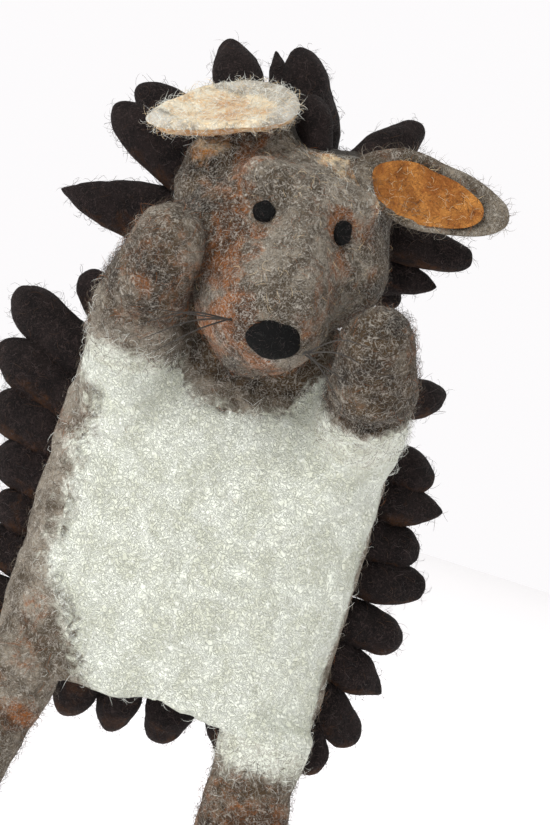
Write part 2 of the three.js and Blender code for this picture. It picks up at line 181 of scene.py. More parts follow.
def piece(name, skin, materials, shares=None, normals=None, slots=None):
    """Makes the Blender object of a skin: points scaled to metres, smooth faces, and its wool shares, partly painted
    shade on the body and head, as a colour.
    """
    mesh = bpy.data.meshes.new(name)
    mesh.vertices.add(len(skin.points))
    mesh.vertices.foreach_set("co", (skin.points * MM).astype(np.float32).ravel())
    corners = np.concatenate([skin.quads.ravel(), skin.tris.ravel()])
    sizes = np.concatenate([np.full(len(skin.quads), 4), np.full(len(skin.tris), 3)])
    mesh.loops.add(len(corners))
    mesh.loops.foreach_set("vertex_index", corners.astype(np.int32))
    mesh.polygons.add(len(sizes))
    mesh.polygons.foreach_set("loop_start", np.concatenate([[0], np.cumsum(sizes)[:-1]]).astype(np.int32))
    mesh.polygons.foreach_set("use_smooth", np.ones(len(sizes), bool))
    if slots is not None:
        mesh.polygons.foreach_set("material_index", slots.astype(np.int32))
    mesh.update(calc_edges=True)
    if shares is not None:
        # The shares are wool, and on the body and head the white and dark ones also carry painted shade.
        layer = mesh.attributes.new("wool_and_painted_shade_share", "FLOAT_COLOR", "POINT")
        layer.data.foreach_set("color", np.column_stack([shares, np.ones(len(shares))]).astype(np.float32).ravel())
    if normals is not None:
        mesh.normals_split_custom_set_from_vertices(normals.tolist())
    for material in materials:
        mesh.materials.append(material)
    made = bpy.data.objects.new(name, mesh)
    bpy.context.scene.collection.objects.link(made)
    print(f"{name}: {len(skin.triangles())} triangles")
    return made

# %% [markdown]
# ## Tubes and paths
# A quill, a whisker, an arm or a leg is a ring carried along a path while it grows and shrinks. The path is a smooth
# curve through a few chosen points, and each ring stands square to it.

# %% Rings along a path
def curve_through(corners, steps):
    """A Catmull-Rom curve through the corners: each stretch is a cubic set by its ends and their neighbours."""
    corners = np.asarray(corners, float)
    padded = np.vstack([2 * corners[0] - corners[1], corners, 2 * corners[-1] - corners[-2]])
    share = np.linspace(0, len(corners) - 1, steps)
    start = np.minimum(share.astype(int), len(corners) - 2)
    t = (share - start)[:, None]
    a, b, c, d = padded[start], padded[start + 1], padded[start + 2], padded[start + 3]
    return 0.5 * (2 * b + (c - a) * t + (2 * a - 5 * b + 4 * c - d) * t ** 2 + (3 * b - a - 3 * c + d) * t ** 3)


def rings_along(path, radii, around, reference=(0.13, 0.21, 1.0), widths=None):
    """Round rings square to a path: point = path + radius * (cos * side + sin * other side)."""
    tangent = unit(np.gradient(path, axis=0))
    side = unit(np.cross(tangent, np.broadcast_to(reference, tangent.shape)))
    other = np.cross(tangent, side)
    turn = np.linspace(0, 2 * np.pi, around, endpoint=False)
    radii = np.asarray(radii, float)
    widths = radii if widths is None else np.asarray(widths, float)
    return (path[:, None] + widths[:, None, None] * np.cos(turn)[None, :, None] * side[:, None]
            + radii[:, None, None] * np.sin(turn)[None, :, None] * other[:, None])


def rounded_finger(corners, radii, around=28, steps=26):
    """A tube through the corners with the radii given there, closed by half a ball at each end."""
    path = curve_through(corners, steps)
    size = np.interp(np.linspace(0, len(radii) - 1, steps), np.arange(len(radii)), radii)
    tangent = unit(np.gradient(path, axis=0))
    turn = np.linspace(np.pi / 2, 0, 7)[1:]
    start = path[0] - tangent[0] * (size[0] * np.sin(turn))[:, None]
    end = path[-1] + tangent[-1] * (size[-1] * np.sin(turn[::-1]))[:, None]
    whole = np.vstack([start, path[1:-1], end])
    sizes = np.concatenate([size[0] * np.cos(turn), size[1:-1], size[-1] * np.cos(turn[::-1])])
    return closed_skin(rings_along(whole, sizes, around),
                       path[0] - tangent[0] * size[0], path[-1] + tangent[-1] * size[-1])

# %% [markdown]
# ## Colours of the wool
# The maker used natural fleeces: a warm grey, an off-white, a cream, a rust brown and a nearly black brown, with hard
# black felt for the eyes and the nose. Colours are given as they look to the eye and turned into Blender's linear
# values here.

# %% Wool colours
def dye(red, green, blue):
    """A colour from 0-255 screen values to linear: c/12.92 when dark, else ((c + 0.055) / 1.055) ^ 2.4."""
    values = np.array([red, green, blue]) / 255
    linear = np.where(values <= 0.04045, values / 12.92, ((values + 0.055) / 1.055) ** 2.4)
    return (*[float(value) for value in linear], 1.0)


GREY_DARK, GREY, GREY_PALE = dye(78, 67, 53), dye(146, 136, 121), dye(208, 202, 191)
RUST_DARK, RUST, RUST_PALE = dye(72, 45, 24), dye(148, 89, 42), dye(202, 138, 70)
OLIVE_DARK, OLIVE = dye(32, 24, 16), dye(78, 61, 40)
WHITE_SHADE, WHITE, WHITE_PALE = dye(219, 222, 204), dye(244, 248, 235), dye(252, 255, 248)
CREAM, CREAM_PALE = dye(247, 222, 180), dye(252, 243, 220)
QUILL_DARK, QUILL, QUILL_PALE = dye(15, 10, 10), dye(34, 26, 25), dye(78, 65, 63)
BLACK, BLACK_PALE = dye(5, 5, 5), dye(26, 26, 25)
print("quill colour in linear values:", [round(value, 4) for value in QUILL])

# %% [markdown]
# ## Threads on the surface of felt
# Close up, felt is a tangle of single curling hairs over a matted ground. A real tangle would need millions of hairs.
# The line where a smooth noise crosses its middle value is already a long curling thread, so each layer here keeps a
# thin band round that line, and four layers of different sizes crossed over each other read as matted wool. The group
# gives out the threads, a second set in another place, soft clumps, and a height for the bump.

# %% Shader group: matted threads
def new_group(name, inputs, outputs):
    """A shader node group with named float or vector sockets."""
    group = bpy.data.node_groups.new(name, "ShaderNodeTree")
    for label, kind, value in inputs:
        socket = group.interface.new_socket(label, in_out="INPUT", socket_type=kind)
        if value is not None:
            socket.default_value = value
    for label, kind in outputs:
        group.interface.new_socket(label, in_out="OUTPUT", socket_type=kind)
    return group, group.nodes.new("NodeGroupInput"), group.nodes.new("NodeGroupOutput")


def math_node(tree, operation, first, second=None, clamp=False):
    """One Math node; a number is set on the socket and a socket is linked to it."""
    node = tree.nodes.new("ShaderNodeMath")
    node.operation = operation
    node.use_clamp = clamp
    for slot, value in enumerate((first, second)):
        if value is None:
            continue
        if isinstance(value, (int, float)):
            node.inputs[slot].default_value = value
        else:
            tree.links.new(value, node.inputs[slot])
    return node.outputs[0]


def noise_node(tree, vector, scale, detail=2.0, distortion=0.0, rough=0.5):
    """One 3D Noise Texture; its scale is a number or a socket."""
    node = tree.nodes.new("ShaderNodeTexNoise")
    node.inputs["Detail"].default_value = detail
    node.inputs["Distortion"].default_value = distortion
    node.inputs["Roughness"].default_value = rough
    tree.links.new(vector, node.inputs["Vector"])
    if isinstance(scale, (int, float)):
        node.inputs["Scale"].default_value = scale
    else:
        tree.links.new(scale, node.inputs["Scale"])
    return node.outputs["Fac"]


def shifted(tree, vector, offset):
    """The same pattern read from another place."""
    node = tree.nodes.new("ShaderNodeVectorMath")
    node.operation = "ADD"
    tree.links.new(vector, node.inputs[0])
    node.inputs[1].default_value = offset
    return node.outputs[0]


def ramped(tree, value, low, high, smooth=True):
    """Map Range from low..high to 0..1, with smooth ends."""
    node = tree.nodes.new("ShaderNodeMapRange")
    node.interpolation_type = "SMOOTHSTEP" if smooth else "LINEAR"
    tree.links.new(value, node.inputs["Value"])
    node.inputs["From Min"].default_value = low
    node.inputs["From Max"].default_value = high
    return node.outputs["Result"]


threads, given, result = new_group(
    "matted threads",
    [("Vector", "NodeSocketVector", None), ("Scale", "NodeSocketFloat", 1.0)],
    [("Light threads", "NodeSocketFloat"), ("Dark threads", "NodeSocketFloat"),
     ("Clumps", "NodeSocketFloat"), ("Height", "NodeSocketFloat")])


def thread_layer(number, scale, width):
    """The band where a warped noise lies within a width of its middle value: a thin curling line."""
    place = shifted(threads, given.outputs["Vector"], (0.31 * number, 0.17 * number, -0.23 * number))
    size = math_node(threads, "MULTIPLY", given.outputs["Scale"], scale)
    value = noise_node(threads, place, size, detail=1.5, distortion=0.9)
    off = math_node(threads, "ABSOLUTE", math_node(threads, "SUBTRACT", value, 0.5))
    return ramped(threads, off, width, 0.0)


light_a = thread_layer(1, 290.0, 0.03)
light_b = thread_layer(2, 440.0, 0.04)
dark_a = thread_layer(3, 340.0, 0.035)
dark_b = thread_layer(4, 200.0, 0.022)
light = math_node(threads, "MAXIMUM", light_a, light_b)
dark = math_node(threads, "MAXIMUM", dark_a, dark_b)
clump_size = math_node(threads, "MULTIPLY", given.outputs["Scale"], 75.0)
clumps = noise_node(threads, given.outputs["Vector"], clump_size, detail=4.0, distortion=0.6, rough=0.6)
grain_size = math_node(threads, "MULTIPLY", given.outputs["Scale"], 620.0)
grain = noise_node(threads, given.outputs["Vector"], grain_size, detail=3.0, distortion=1.2, rough=0.65)
raised = math_node(threads, "MULTIPLY", math_node(threads, "MAXIMUM", light, dark), 0.55)
height = math_node(threads, "ADD", raised, math_node(threads, "MULTIPLY", clumps, 0.9))
height = math_node(threads, "ADD", height, math_node(threads, "MULTIPLY", grain, 0.45))
for socket, value in (("Light threads", light), ("Dark threads", dark), ("Clumps", clumps), ("Height", height)):
    threads.links.new(value, result.inputs[socket])
print("matted threads:", len(threads.nodes), "nodes")

# %% [markdown]
# ## The felt itself
# One recipe makes every felt. The ground colour drifts between a dark and a middle shade with the clumps. Rust, white
# and dark wool are laid over it where the piece's own shares say so, each with a ragged edge, because the fleeces are
# pulled thin there; on the body and the head these shares also paint shade under the chin, at the top of the right
# sleeve and on the head's sides. Light and dark threads lie on top. A soft sheen stands for the haze of hairs too fine
# to model.

# %% Felt materials
def mixed(tree, share, first, second):
    """A colour mix; the share is a socket or a number, and each colour a socket or a plain colour."""
    node = tree.nodes.new("ShaderNodeMix")
    node.data_type = "RGBA"
    if isinstance(share, (int, float)):
        node.inputs["Factor"].default_value = share
    else:
        tree.links.new(share, node.inputs["Factor"])
    for label, value in (("A", first), ("B", second)):
        socket = next(item for item in node.inputs if item.name == label and item.type == "RGBA")
        if isinstance(value, tuple):
            socket.default_value = value
        else:
            tree.links.new(value, socket)
    return next(item for item in node.outputs if item.type == "RGBA")


def felt(name, ground, pale_thread, dark_thread, overlays=(), scale=1.0, bump=0.8, sheen=0.25,
         light_amount=0.55, dark_amount=0.45, rough=0.92):
    """Felt: ground shades by clumps, each overlay where its share (wool, and on the body and head also painted shade)
    is past a start, then threads and bump.
    """
    material = bpy.data.materials.new(name)
    material.use_nodes = True
    tree = material.node_tree
    shader = tree.nodes["Principled BSDF"]
    place = tree.nodes.new("ShaderNodeTexCoord").outputs["Object"]
    matted = tree.nodes.new("ShaderNodeGroup")
    matted.node_tree = threads
    matted.inputs["Scale"].default_value = scale
    tree.links.new(place, matted.inputs["Vector"])
    colour = mixed(tree, ramped(tree, matted.outputs["Clumps"], 0.36, 0.64), ground[0], ground[1])
    if overlays:
        # The shares read here are wool, and on the body and head partly painted shade.
        shares = tree.nodes.new("ShaderNodeAttribute")
        shares.attribute_name = "wool_and_painted_shade_share"
        split = tree.nodes.new("ShaderNodeSeparateColor")
        tree.links.new(shares.outputs["Color"], split.inputs["Color"])
    plain = 1.0
    for number, (channel, shade, wool, past) in enumerate(overlays):
        ragged = noise_node(tree, shifted(tree, place, (0.4 + number, 0.2, 0.1)), 130.0, detail=5.0, distortion=1.5,
                            rough=0.62)
        edge = math_node(tree, "ADD", math_node(tree, "SUBTRACT", split.outputs[channel], past),
                         math_node(tree, "MULTIPLY", math_node(tree, "SUBTRACT", ragged, 0.5), 1.3))
        tone = mixed(tree, ramped(tree, matted.outputs["Clumps"], 0.38, 0.62), shade, wool)
        colour = mixed(tree, ramped(tree, edge, 0.26, 0.74), colour, tone)
        if past:
            plain = math_node(tree, "SUBTRACT", 1.0, math_node(tree, "MULTIPLY", ramped(tree, edge, 0.26, 0.74), 0.8))
    light_share = math_node(tree, "MULTIPLY", matted.outputs["Light threads"], light_amount)
    light_share = math_node(tree, "MULTIPLY", light_share, plain)
    dark_share = math_node(tree, "MULTIPLY", matted.outputs["Dark threads"], dark_amount)
    colour = mixed(tree, dark_share, colour, dark_thread)
    colour = mixed(tree, light_share, colour, pale_thread)
    tree.links.new(colour, shader.inputs["Base Color"])
    lift = tree.nodes.new("ShaderNodeBump")
    lift.inputs["Strength"].default_value = bump
    lift.inputs["Distance"].default_value = 0.0009 / scale
    tree.links.new(matted.outputs["Height"], lift.inputs["Height"])
    tree.links.new(lift.outputs["Normal"], shader.inputs["Normal"])
    shader.inputs["Roughness"].default_value = rough
    shader.inputs["Specular IOR Level"].default_value = 0.2
    shader.inputs["Sheen Weight"].default_value = sheen
    shader.inputs["Sheen Roughness"].default_value = 0.6
    shader.inputs["Sheen Tint"].default_value = pale_thread
    return material


def hair(name, colour, rough=0.7, sheen=0.1):
    """One plain shade of wool hair: each hair is far too thin to carry a pattern of its own."""
    material = bpy.data.materials.new(name)
    material.use_nodes = True
    shader = material.node_tree.nodes["Principled BSDF"]
    shader.inputs["Base Color"].default_value = colour
    shader.inputs["Roughness"].default_value = rough
    shader.inputs["Specular IOR Level"].default_value = 0.25
    shader.inputs["Sheen Weight"].default_value = sheen
    return material


COAT_START = 0.9
RUST_OVER, WHITE_OVER = ("Green", RUST_DARK, RUST, 0.0), ("Red", WHITE_SHADE, WHITE, 0.0)
DARK_OVER, COAT_OVER = ("Blue", OLIVE_DARK, OLIVE, 0.0), ("Blue", QUILL_DARK, QUILL, COAT_START)
PEACH_OVER = ("Red", RUST_PALE, CREAM, 0.0)
body_felt = felt("grey felt with white and rust wool", (GREY_DARK, GREY), GREY_PALE, GREY_DARK,
                 overlays=(RUST_OVER, DARK_OVER, WHITE_OVER, COAT_OVER), light_amount=0.5)
head_felt = felt("head felt", (GREY_DARK, GREY), GREY_PALE, OLIVE_DARK,
                 overlays=(RUST_OVER, DARK_OVER, PEACH_OVER, COAT_OVER), scale=1.15, light_amount=0.6, dark_amount=0.55)
belly_felt = felt("white felt", (WHITE_SHADE, WHITE), WHITE_PALE, WHITE_SHADE,
                  overlays=(("Green", GREY_DARK, GREY, 0.0),), bump=1.0, light_amount=0.6, dark_amount=0.3, sheen=0.15)
quill_felt = felt("dark quill felt", (QUILL_DARK, QUILL), QUILL_PALE, QUILL_DARK,
                  overlays=(("Green", RUST_DARK, QUILL, 0.0),), scale=1.1, bump=1.0, light_amount=0.45, sheen=0.12)
black_felt = felt("black felt", (BLACK, BLACK), BLACK_PALE, BLACK, scale=1.8, bump=0.8, light_amount=0.2, sheen=0.0,
                  rough=0.8)
rust_felt = felt("rust ear felt", (RUST, RUST_PALE), RUST_PALE, RUST, overlays=(("Blue", RUST_DARK, RUST, 0.0),),
                 scale=1.2, light_amount=0.5, sheen=0.1)
cream_felt = felt("cream ear felt", (CREAM, CREAM_PALE), WHITE_PALE, CREAM,
                  overlays=(("Green", RUST_PALE, dye(240, 200, 145), 0.0), ("Blue", GREY, GREY_PALE, 0.0)),
                  scale=1.2, sheen=0.15)
HAIRS = {label: hair(label + " hair", colour) for label, colour in {
    "pale": dye(186, 178, 165), "grey": dye(126, 115, 100), "dark": GREY_DARK, "white": WHITE_PALE,
    "cream": CREAM, "rust": RUST, "brown": RUST_DARK, "quill": QUILL, "quill pale": QUILL_PALE,
    "black": BLACK_PALE}.items()}
print("materials:", len(bpy.data.materials))

# %% [markdown]
# ## The glove's body, arms and legs
# The body bag, the arms and the legs are one felt in the real puppet: the wool was laid over one pattern and shrunk
# together, so there is no seam where an arm leaves the body, only a fold. Each lobe is first a simple closed skin. A
# voxel remesh then melts them into one, and a few rounds of smoothing give the soft inner corners that felt has.
# After that the skin is cut where the joints are, so each part can ride on its own body; a part that spans a joint is
# left unattached.

# %% The lobes
SHOULDER = {"right": np.array([-54.0, -10, 142]), "left": np.array([54.0, -12, 140])}
WRIST = {"right": np.array([-52.5, -42, 172]), "left": np.array([55.0, -44, 155])}
PAW_TIP = {"right": np.array([-45.5, -61, 195.5]), "left": np.array([49.0, -63, 179.5])}
LEG_SIDE, HIP_FORWARD, LEG_DROP = {"right": -59.0, "left": 55.0}, -14.0, 89.5
LEG_SPLAY = {"right": -0.26, "left": 0.02}


def bag_ring(z, factor, grow, turn):
    """One flattened ring of the body bag: half width 75 and half depth 25 with squared corners, grown by an amount."""
    x = np.sign(np.cos(turn)) * np.abs(np.cos(turn)) ** 0.77 * (75 * factor + grow)
    y = np.sign(np.sin(turn)) * np.abs(np.sin(turn)) ** 0.77 * (25 * factor + grow)
    front = smooth_step(-y, 0, 20)
    y = y - front * 2.2 * np.sin(np.pi * np.clip(z / 150, 0, 1)) * (1 - np.abs(x / 78) ** 3)
    hem = np.clip(1 - z / 30, 0, 1)
    wave = hem * (front * 2.6 * np.cos(np.pi * x / 70) + 1.2 * np.sin(x / 13) + 0.8 * np.sin(x / 5.5 + 1))
    return np.stack([x, y, z + wave], axis=-1)


def body_bag(wall=4.0, around=150):
    """Down the outside from the neck, round the hem, and up the inside, as one closed skin with a wall."""
    turn = np.linspace(0, 2 * np.pi, around, endpoint=False)
    rise = np.sin(np.radians(np.linspace(84, 0, 16)))
    outer = [(112 + 47 * value, (1 - value ** 2.6) ** (1 / 2.6), 0.0) for value in rise]
    outer += [(z, 1.0, 0.0) for z in np.linspace(109, 4, 40)]
    lip = [(2 - 2 * math.sin(a), 1.0, -wall / 2 + wall / 2 * math.cos(a)) for a in np.radians([30, 60, 90, 120, 150])]
    inner = [(z - (wall if z > 60 else 0), factor, -wall) for z, factor, _ in outer[::-1]]
    rings = np.array([bag_ring(z, factor, grow, turn) for z, factor, grow in outer + lip + inner])
    return closed_skin(rings, (0, 0, 160), (0, 0, 160 - wall))


def leg_lobe(side):
    """A flattened tube down from the hem, widening a little into a rounded foot that points forward."""
    top = np.array([LEG_SIDE[side], HIP_FORWARD, 9.0])
    drop = np.linspace(0, LEG_DROP + 12, 30)
    path = np.stack([top[0] + LEG_SPLAY[side] * np.maximum(drop - 9, 0), np.full(30, top[1]), top[2] - drop], axis=-1)
    narrow = 1 - 0.05 * np.sin(np.pi * drop / 100)
    close = np.sqrt(np.clip(1 - np.clip((drop - LEG_DROP + 4) / 17, 0, 1) ** 2.5, 0, 1))
    rings = rings_along(path, 12.4 * narrow * close, 40, reference=(0, 1, 0), widths=20.6 * narrow * close)
    leg = closed_skin(rings[:-1], path[0] + (0, 0, 1.5), path[-1])
    ankle = path[-1] + (0, -7, 7)
    turn = np.linspace(0, 2 * np.pi, 36, endpoint=False)
    tilt = np.radians(np.linspace(-80, 80, 15))[:, None]
    foot = np.stack([ankle[0] + 21.0 * np.cos(tilt) * np.cos(turn), ankle[1] + 18.5 * np.cos(tilt) * np.sin(turn),
                     ankle[2] + 13.5 * np.sin(tilt) * np.ones_like(turn)], axis=-1)
    return [leg, closed_skin(foot, ankle - (0, 0, 13.7), ankle + (0, 0, 13.7))]


ARM_RADII = {"right": ([25.0, 22.0, 19.0], [18.0, 18.6, 16.6]), "left": ([25.0, 22.5, 19.0], [18.4, 19.6, 16.8])}


def arm_lobe(side):
    """A thick finger from inside the shoulder to the wrist, and a rounder one from the wrist to the paw's tip."""
    root = SHOULDER[side] + np.array([-8.0 if side == "left" else 8.0, 6, -20])
    wrist, tip = WRIST[side], PAW_TIP[side]
    out = unit(tip - wrist)
    outer = np.array([3.0 if side == "right" else -2.0, 1, -3])
    sizes, paw = ARM_RADII[side]
    return [rounded_finger([root, SHOULDER[side] + outer, wrist], sizes),
            rounded_finger([wrist - 1 * out, wrist + 10 * out, tip], paw)]


def cowl():
    """The bag's top, drawn up round the neck behind the chin: an oval ring carried upwards and narrowed."""
    path = curve_through([(0, -1, 128), (0, -2, 144), (0, -2, 160), (0, -1, 174), (0, 0, 186)], 20)
    close = np.sqrt(1 - np.linspace(0, 0.93, 20) ** 5)
    return closed_skin(rings_along(path, 20 * close, 52, reference=(0, 1, 0), widths=np.linspace(50, 58, 20) * close),
                       path[0], path[-1] + (0, 0, 1))


lobes = [body_bag(), cowl()]
for side in ("right", "left"):
    lobes += leg_lobe(side) + arm_lobe(side)
print("lobes:", len(lobes), "with", sum(len(lobe.points) for lobe in lobes), "points")

# %% Melt the lobes into one felt
def melted(skins, voxel, rounds):
    """Voxel remesh of the overlapping skins at the given size in mm, smoothed for a number of rounds, as a new skin."""
    rough = piece("rough lobes", joined(skins), [])
    remesh = rough.modifiers.new("melt", "REMESH")
    remesh.mode = "VOXEL"
    remesh.voxel_size = voxel * MM
    smooth = rough.modifiers.new("soften", "SMOOTH")
    smooth.iterations = rounds
    smooth.factor = 0.5
    finished = rough.evaluated_get(bpy.context.evaluated_depsgraph_get()).to_mesh()
    points = np.zeros(len(finished.vertices) * 3, np.float32)
    finished.vertices.foreach_get("co", points)
    quads = np.zeros(len(finished.loops), np.int32)
    finished.loops.foreach_get("vertex_index", quads)
    skin = Skin(points.reshape(-1, 3) / MM, quads.reshape(-1, 4)).outward()
    mesh = rough.data
    bpy.data.objects.remove(rough)
    bpy.data.meshes.remove(mesh)
    return skin


def along(points, start, direction):
    """How far each point lies past the start along a direction."""
    return (points - start) @ unit(direction)


def inside_arm(points, side):
    """How far inside an arm's space: 34 mm across from the wrist, and 28 mm from its line on the inner side."""
    nearest = np.full(len(points), np.inf)
    for start, end in ((SHOULDER[side], WRIST[side]), (WRIST[side], PAW_TIP[side])):
        line = end - start
        share = np.clip((points - start) @ line / (line @ line), 0, 1)
        nearest = np.minimum(nearest, np.linalg.norm(points - start - share[:, None] * line, axis=1))
    off = (points[:, 0] - WRIST[side][0]) * np.sign(WRIST[side][0])
    return np.minimum(34 - np.abs(off), np.where(off > -14, 34, 28 - nearest))


def crease(points, start, direction, depth, wide):
    """A groove square to a direction: -depth * exp(-(distance / wide)^2)."""
    return -depth * np.exp(-(along(points, start, direction) / wide) ** 2)


body = melted(lobes, 1.9, 9)
lumps = 1.2 * lattice_noise(body.points, 18, 3) + 0.85 * lattice_noise(body.points, 8, 4) \
    + 0.38 * lattice_noise(body.points, 3.6, 5)
for side in ("right", "left"):
    out = PAW_TIP[side] - WRIST[side]
    near = smooth_step(34 - np.linalg.norm(body.points - WRIST[side], axis=1), 0, 10)
    lumps += near * crease(body.points, WRIST[side] - 2 * unit(out), out + (0, 0.25 * np.linalg.norm(out), 0), 2.6, 2.4)
    lumps += near * crease(body.points, WRIST[side] - 11 * unit(out), out + (-4, 0, 4), 1.2, 2.0)
body.push(lumps)
print("melted body:", len(body.points), "points")

# %% [markdown]
# ## Where each wool lies
# White wool was laid over the front for the belly, and it thins out towards the sides, the legs and the arms. The
# paws are browner than the sleeves, and the back is nearly black so that the quills stand on a dark ground. The
# shares also carry painted shade: under the chin the white stops and the dark rises, and the right sleeve's white
# thins towards its top. These shares are worked out at each point with soft steps and stored on the mesh, and the
# felt material breaks up their edges.

# %% Wool shares of the body
def body_shares(points, normals):
    """White, rust and dark shares at each point, each from 0 to 1, but dark up to 2 where the quill coat lies; under
    the chin the white stops and the dark rises as painted shade, and the right sleeve's white thins towards its top as
    painted shade.
    """
    x, y, z = points.T
    drift = 9 * lattice_noise(points, 26, 11) + 5 * lattice_noise(points, 10, 12)
    front = smooth_step(-y + 0.3 * drift, 3, 14)
    corner = 27 * smooth_step(62 - z, 0, 58)
    from_right = smooth_step(x + 58 - corner + 1.0 * drift, -26, 22)
    # Painted shade: the white stops lower under the chin, where the chin's shadow falls.
    top = 151 - 14 * np.exp(-((x + 2) / 27) ** 2)
    white = front * from_right * smooth_step(top - z + 0.5 * drift, -14, 16)
    white *= np.where(x > 0, smooth_step(z + 11 + 0.8 * drift, -18, 16), smooth_step(z + 1 + 0.4 * drift, -4, 6))
    rust = np.clip(0.14 + 0.42 * lattice_noise(points, 22, 13) + 0.3 * lattice_noise(points, 8, 14), 0, 1) * 0.7
    # Painted shade: the dark share rises over the top of the bag round the neck, where shade falls under the head.
    dark = 1.15 * smooth_step(z + 0.4 * drift, 140, 152) * smooth_step(60 - np.abs(x), -8, 8)
    for side, brown in (("right", 0.45), ("left", 0.42)):
        sleeve = smooth_step(along(points, SHOULDER[side], WRIST[side] - SHOULDER[side]), -4, 12)
        sleeve *= smooth_step(inside_arm(points, side), -7, 6)
        paw = sleeve * smooth_step(along(points, WRIST[side], PAW_TIP[side] - WRIST[side]) + 0.3 * drift, -9, 3)
        # Painted shade: the right sleeve's white thins towards its top, where shade falls between the arm and the
        # muzzle.
        pale = 0.9 if side == "left" else 0.95 - 0.8 * smooth_step(z + 0.5 * drift, 134, 154)
        faces_front = smooth_step(-normals[:, 1], -0.5, 0.3)
        white = np.where(sleeve > 0, white * (1 - sleeve) + pale * sleeve * (1 - paw) * faces_front, white)
        rust = np.maximum(rust, paw * (brown + 0.45 * lattice_noise(points, 12, 15)))
        paw_dark = 0.78 if side == "left" else 0.5
        dark = np.maximum(dark * (1 - sleeve), paw * (paw_dark + 0.4 * lattice_noise(points, 9, 18)))
    leg = smooth_step(-4 - z, 0, 14)
    rust = np.maximum(rust, leg * np.clip(0.34 + 0.6 * lattice_noise(points, 17, 16), 0, 1))
    dark = np.maximum(dark, leg * (np.where(x > 0, 0.42, 0.25) + 0.3 * lattice_noise(points, 11, 19)))
    back = smooth_step(y - 3 + 0.2 * drift, 0, 5) * smooth_step(z, -3, 6) * smooth_step(normals[:, 1], -0.2, 0.2)
    dark = np.maximum(np.clip(dark, 0, 1), 2.0 * back)
    return np.stack([white * (1 - back), np.clip(rust, 0, 1) * (1 - 0.6 * white), dark], axis=-1)


shares = body_shares(body.points, body.normals)
print("mean white, rust and dark share:", shares.mean(axis=0).round(3))

# %% Cut the felt at its joints
def part_of(skin, keep):
    """The faces of a skin that are kept, with their points renumbered; also gives which points they were."""
    quads = skin.quads[keep]
    used, again = np.unique(quads, return_inverse=True)
    part = Skin(skin.points[used], again.reshape(-1, 4))
    part.normals = skin.normals[used]
    return part, used


middle = body.points[body.quads].mean(axis=1)
facing = body.normals[body.quads].mean(axis=1)
region = np.where((middle[:, 1] > 1.5) & (middle[:, 2] > -3), 1, 0)
white_face = shares[body.quads][:, :, 0].mean(axis=1)
region[(region == 0) & (white_face > 0.5) & (facing[:, 1] < -0.2) & (middle[:, 2] > 1)] = 2
ARM_START = {"right": 16.5, "left": 15.5}
PAW_START, PAW_END = {"right": -6.0, "left": 2.0}, {"right": 9.0, "left": 14.0}
for number, side in enumerate(("right", "left")):
    reach = along(middle, SHOULDER[side], WRIST[side] - SHOULDER[side])
    beside = inside_arm(middle, side) > 0
    past = along(middle, WRIST[side], PAW_TIP[side] - WRIST[side])
    region[beside & (reach > ARM_START[side])] = 3 + number
    region[beside & (reach > ARM_START[side]) & (past > PAW_START[side])] = 5 + number
    own_side = np.sign(middle[:, 0]) == np.sign(LEG_SIDE[side])
    region[own_side & (middle[:, 2] < -3.5)] = 7 + number
    region[own_side & (middle[:, 2] < -84)] = 9 + number
print("faces in each part:", np.bincount(region).tolist())

# %% Body pieces
BODY_PARTS = [
    ("front_felt", "front_panel", body_felt, "glove"), ("back_felt", "back_panel", body_felt, "glove"),
    ("belly_felt", "belly_patch", belly_felt, "glove"),
    ("right_sleeve_felt", "right_sleeve", body_felt, ("glove", "right_arm")),
    ("left_sleeve_felt", "left_sleeve", body_felt, ("glove", "left_arm")),
    ("right_paw_felt", "right_paw", body_felt, ("right_arm", "right_paw")),
    ("left_paw_felt", "left_paw", body_felt, ("left_arm", "left_paw")),
    ("right_leg_felt", "right_leg", body_felt, ("glove", "right_leg")),
    ("left_leg_felt", "left_leg", body_felt, ("glove", "left_leg")),
    ("right_foot_felt", "right_foot", body_felt, "right_leg"), ("left_foot_felt", "left_foot", body_felt, "left_leg")]


def ride_or_bend(made, rider):
    """Rides one body; a part given two bodies only has its transform baked and is not attached to either."""
    if isinstance(rider, str):
        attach(made, rider)
    else:
        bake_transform(made)
    return made


body_parts = {}
for number, (name, node, material, rider) in enumerate(BODY_PARTS):
    part, used = part_of(body, region == number)
    body_parts[name] = (part, shares[used], rider)
    own = shares[used] if material is not belly_felt else np.stack(
        [shares[used][:, 0], 1.15 - 1.2 * shares[used][:, 0], np.zeros(len(used))], axis=-1)
    made = ride_or_bend(piece(name, part, [material], shares=own, normals=part.normals), rider)
    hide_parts(node)

# %% [markdown]
# ## Felt under the felt
# When an arm opens, the outer felt parts along the line where the sleeve meets the collar. A real sleeve has a second
# layer under that line, so what shows there is wool and not a hole. The collar's layer is its lobe pushed in by 2 mm.
# A sleeve's layer is a plainer finger along the same arm, well inside it, so it never comes through at rest.

# %% Under-layers of the collar and the sleeves
COLLAR_DEPTH = 2.0
collar = cowl()
collar.push(-COLLAR_DEPTH * np.ones(len(collar.points)))
under_layers = [("collar_under_felt", collar, "glove", (0.0, 0.2, 0.8))]
for side, white in (("right", 0.1), ("left", 0.5)):
    out = unit(WRIST[side] - SHOULDER[side])
    halfway = (SHOULDER[side] + WRIST[side]) / 2
    layer = rounded_finger([SHOULDER[side] + 6 * out, halfway, WRIST[side] - 3 * out], [14, 15, 13])
    under_layers.append((side + "_sleeve_under_felt", layer, ("glove", side + "_arm"), (white, 0.2, 0.4)))
for name, skin, rider, wool in under_layers:
    ride_or_bend(piece(name, skin, [body_felt], shares=np.tile(wool, (len(skin.points), 1))), rider)

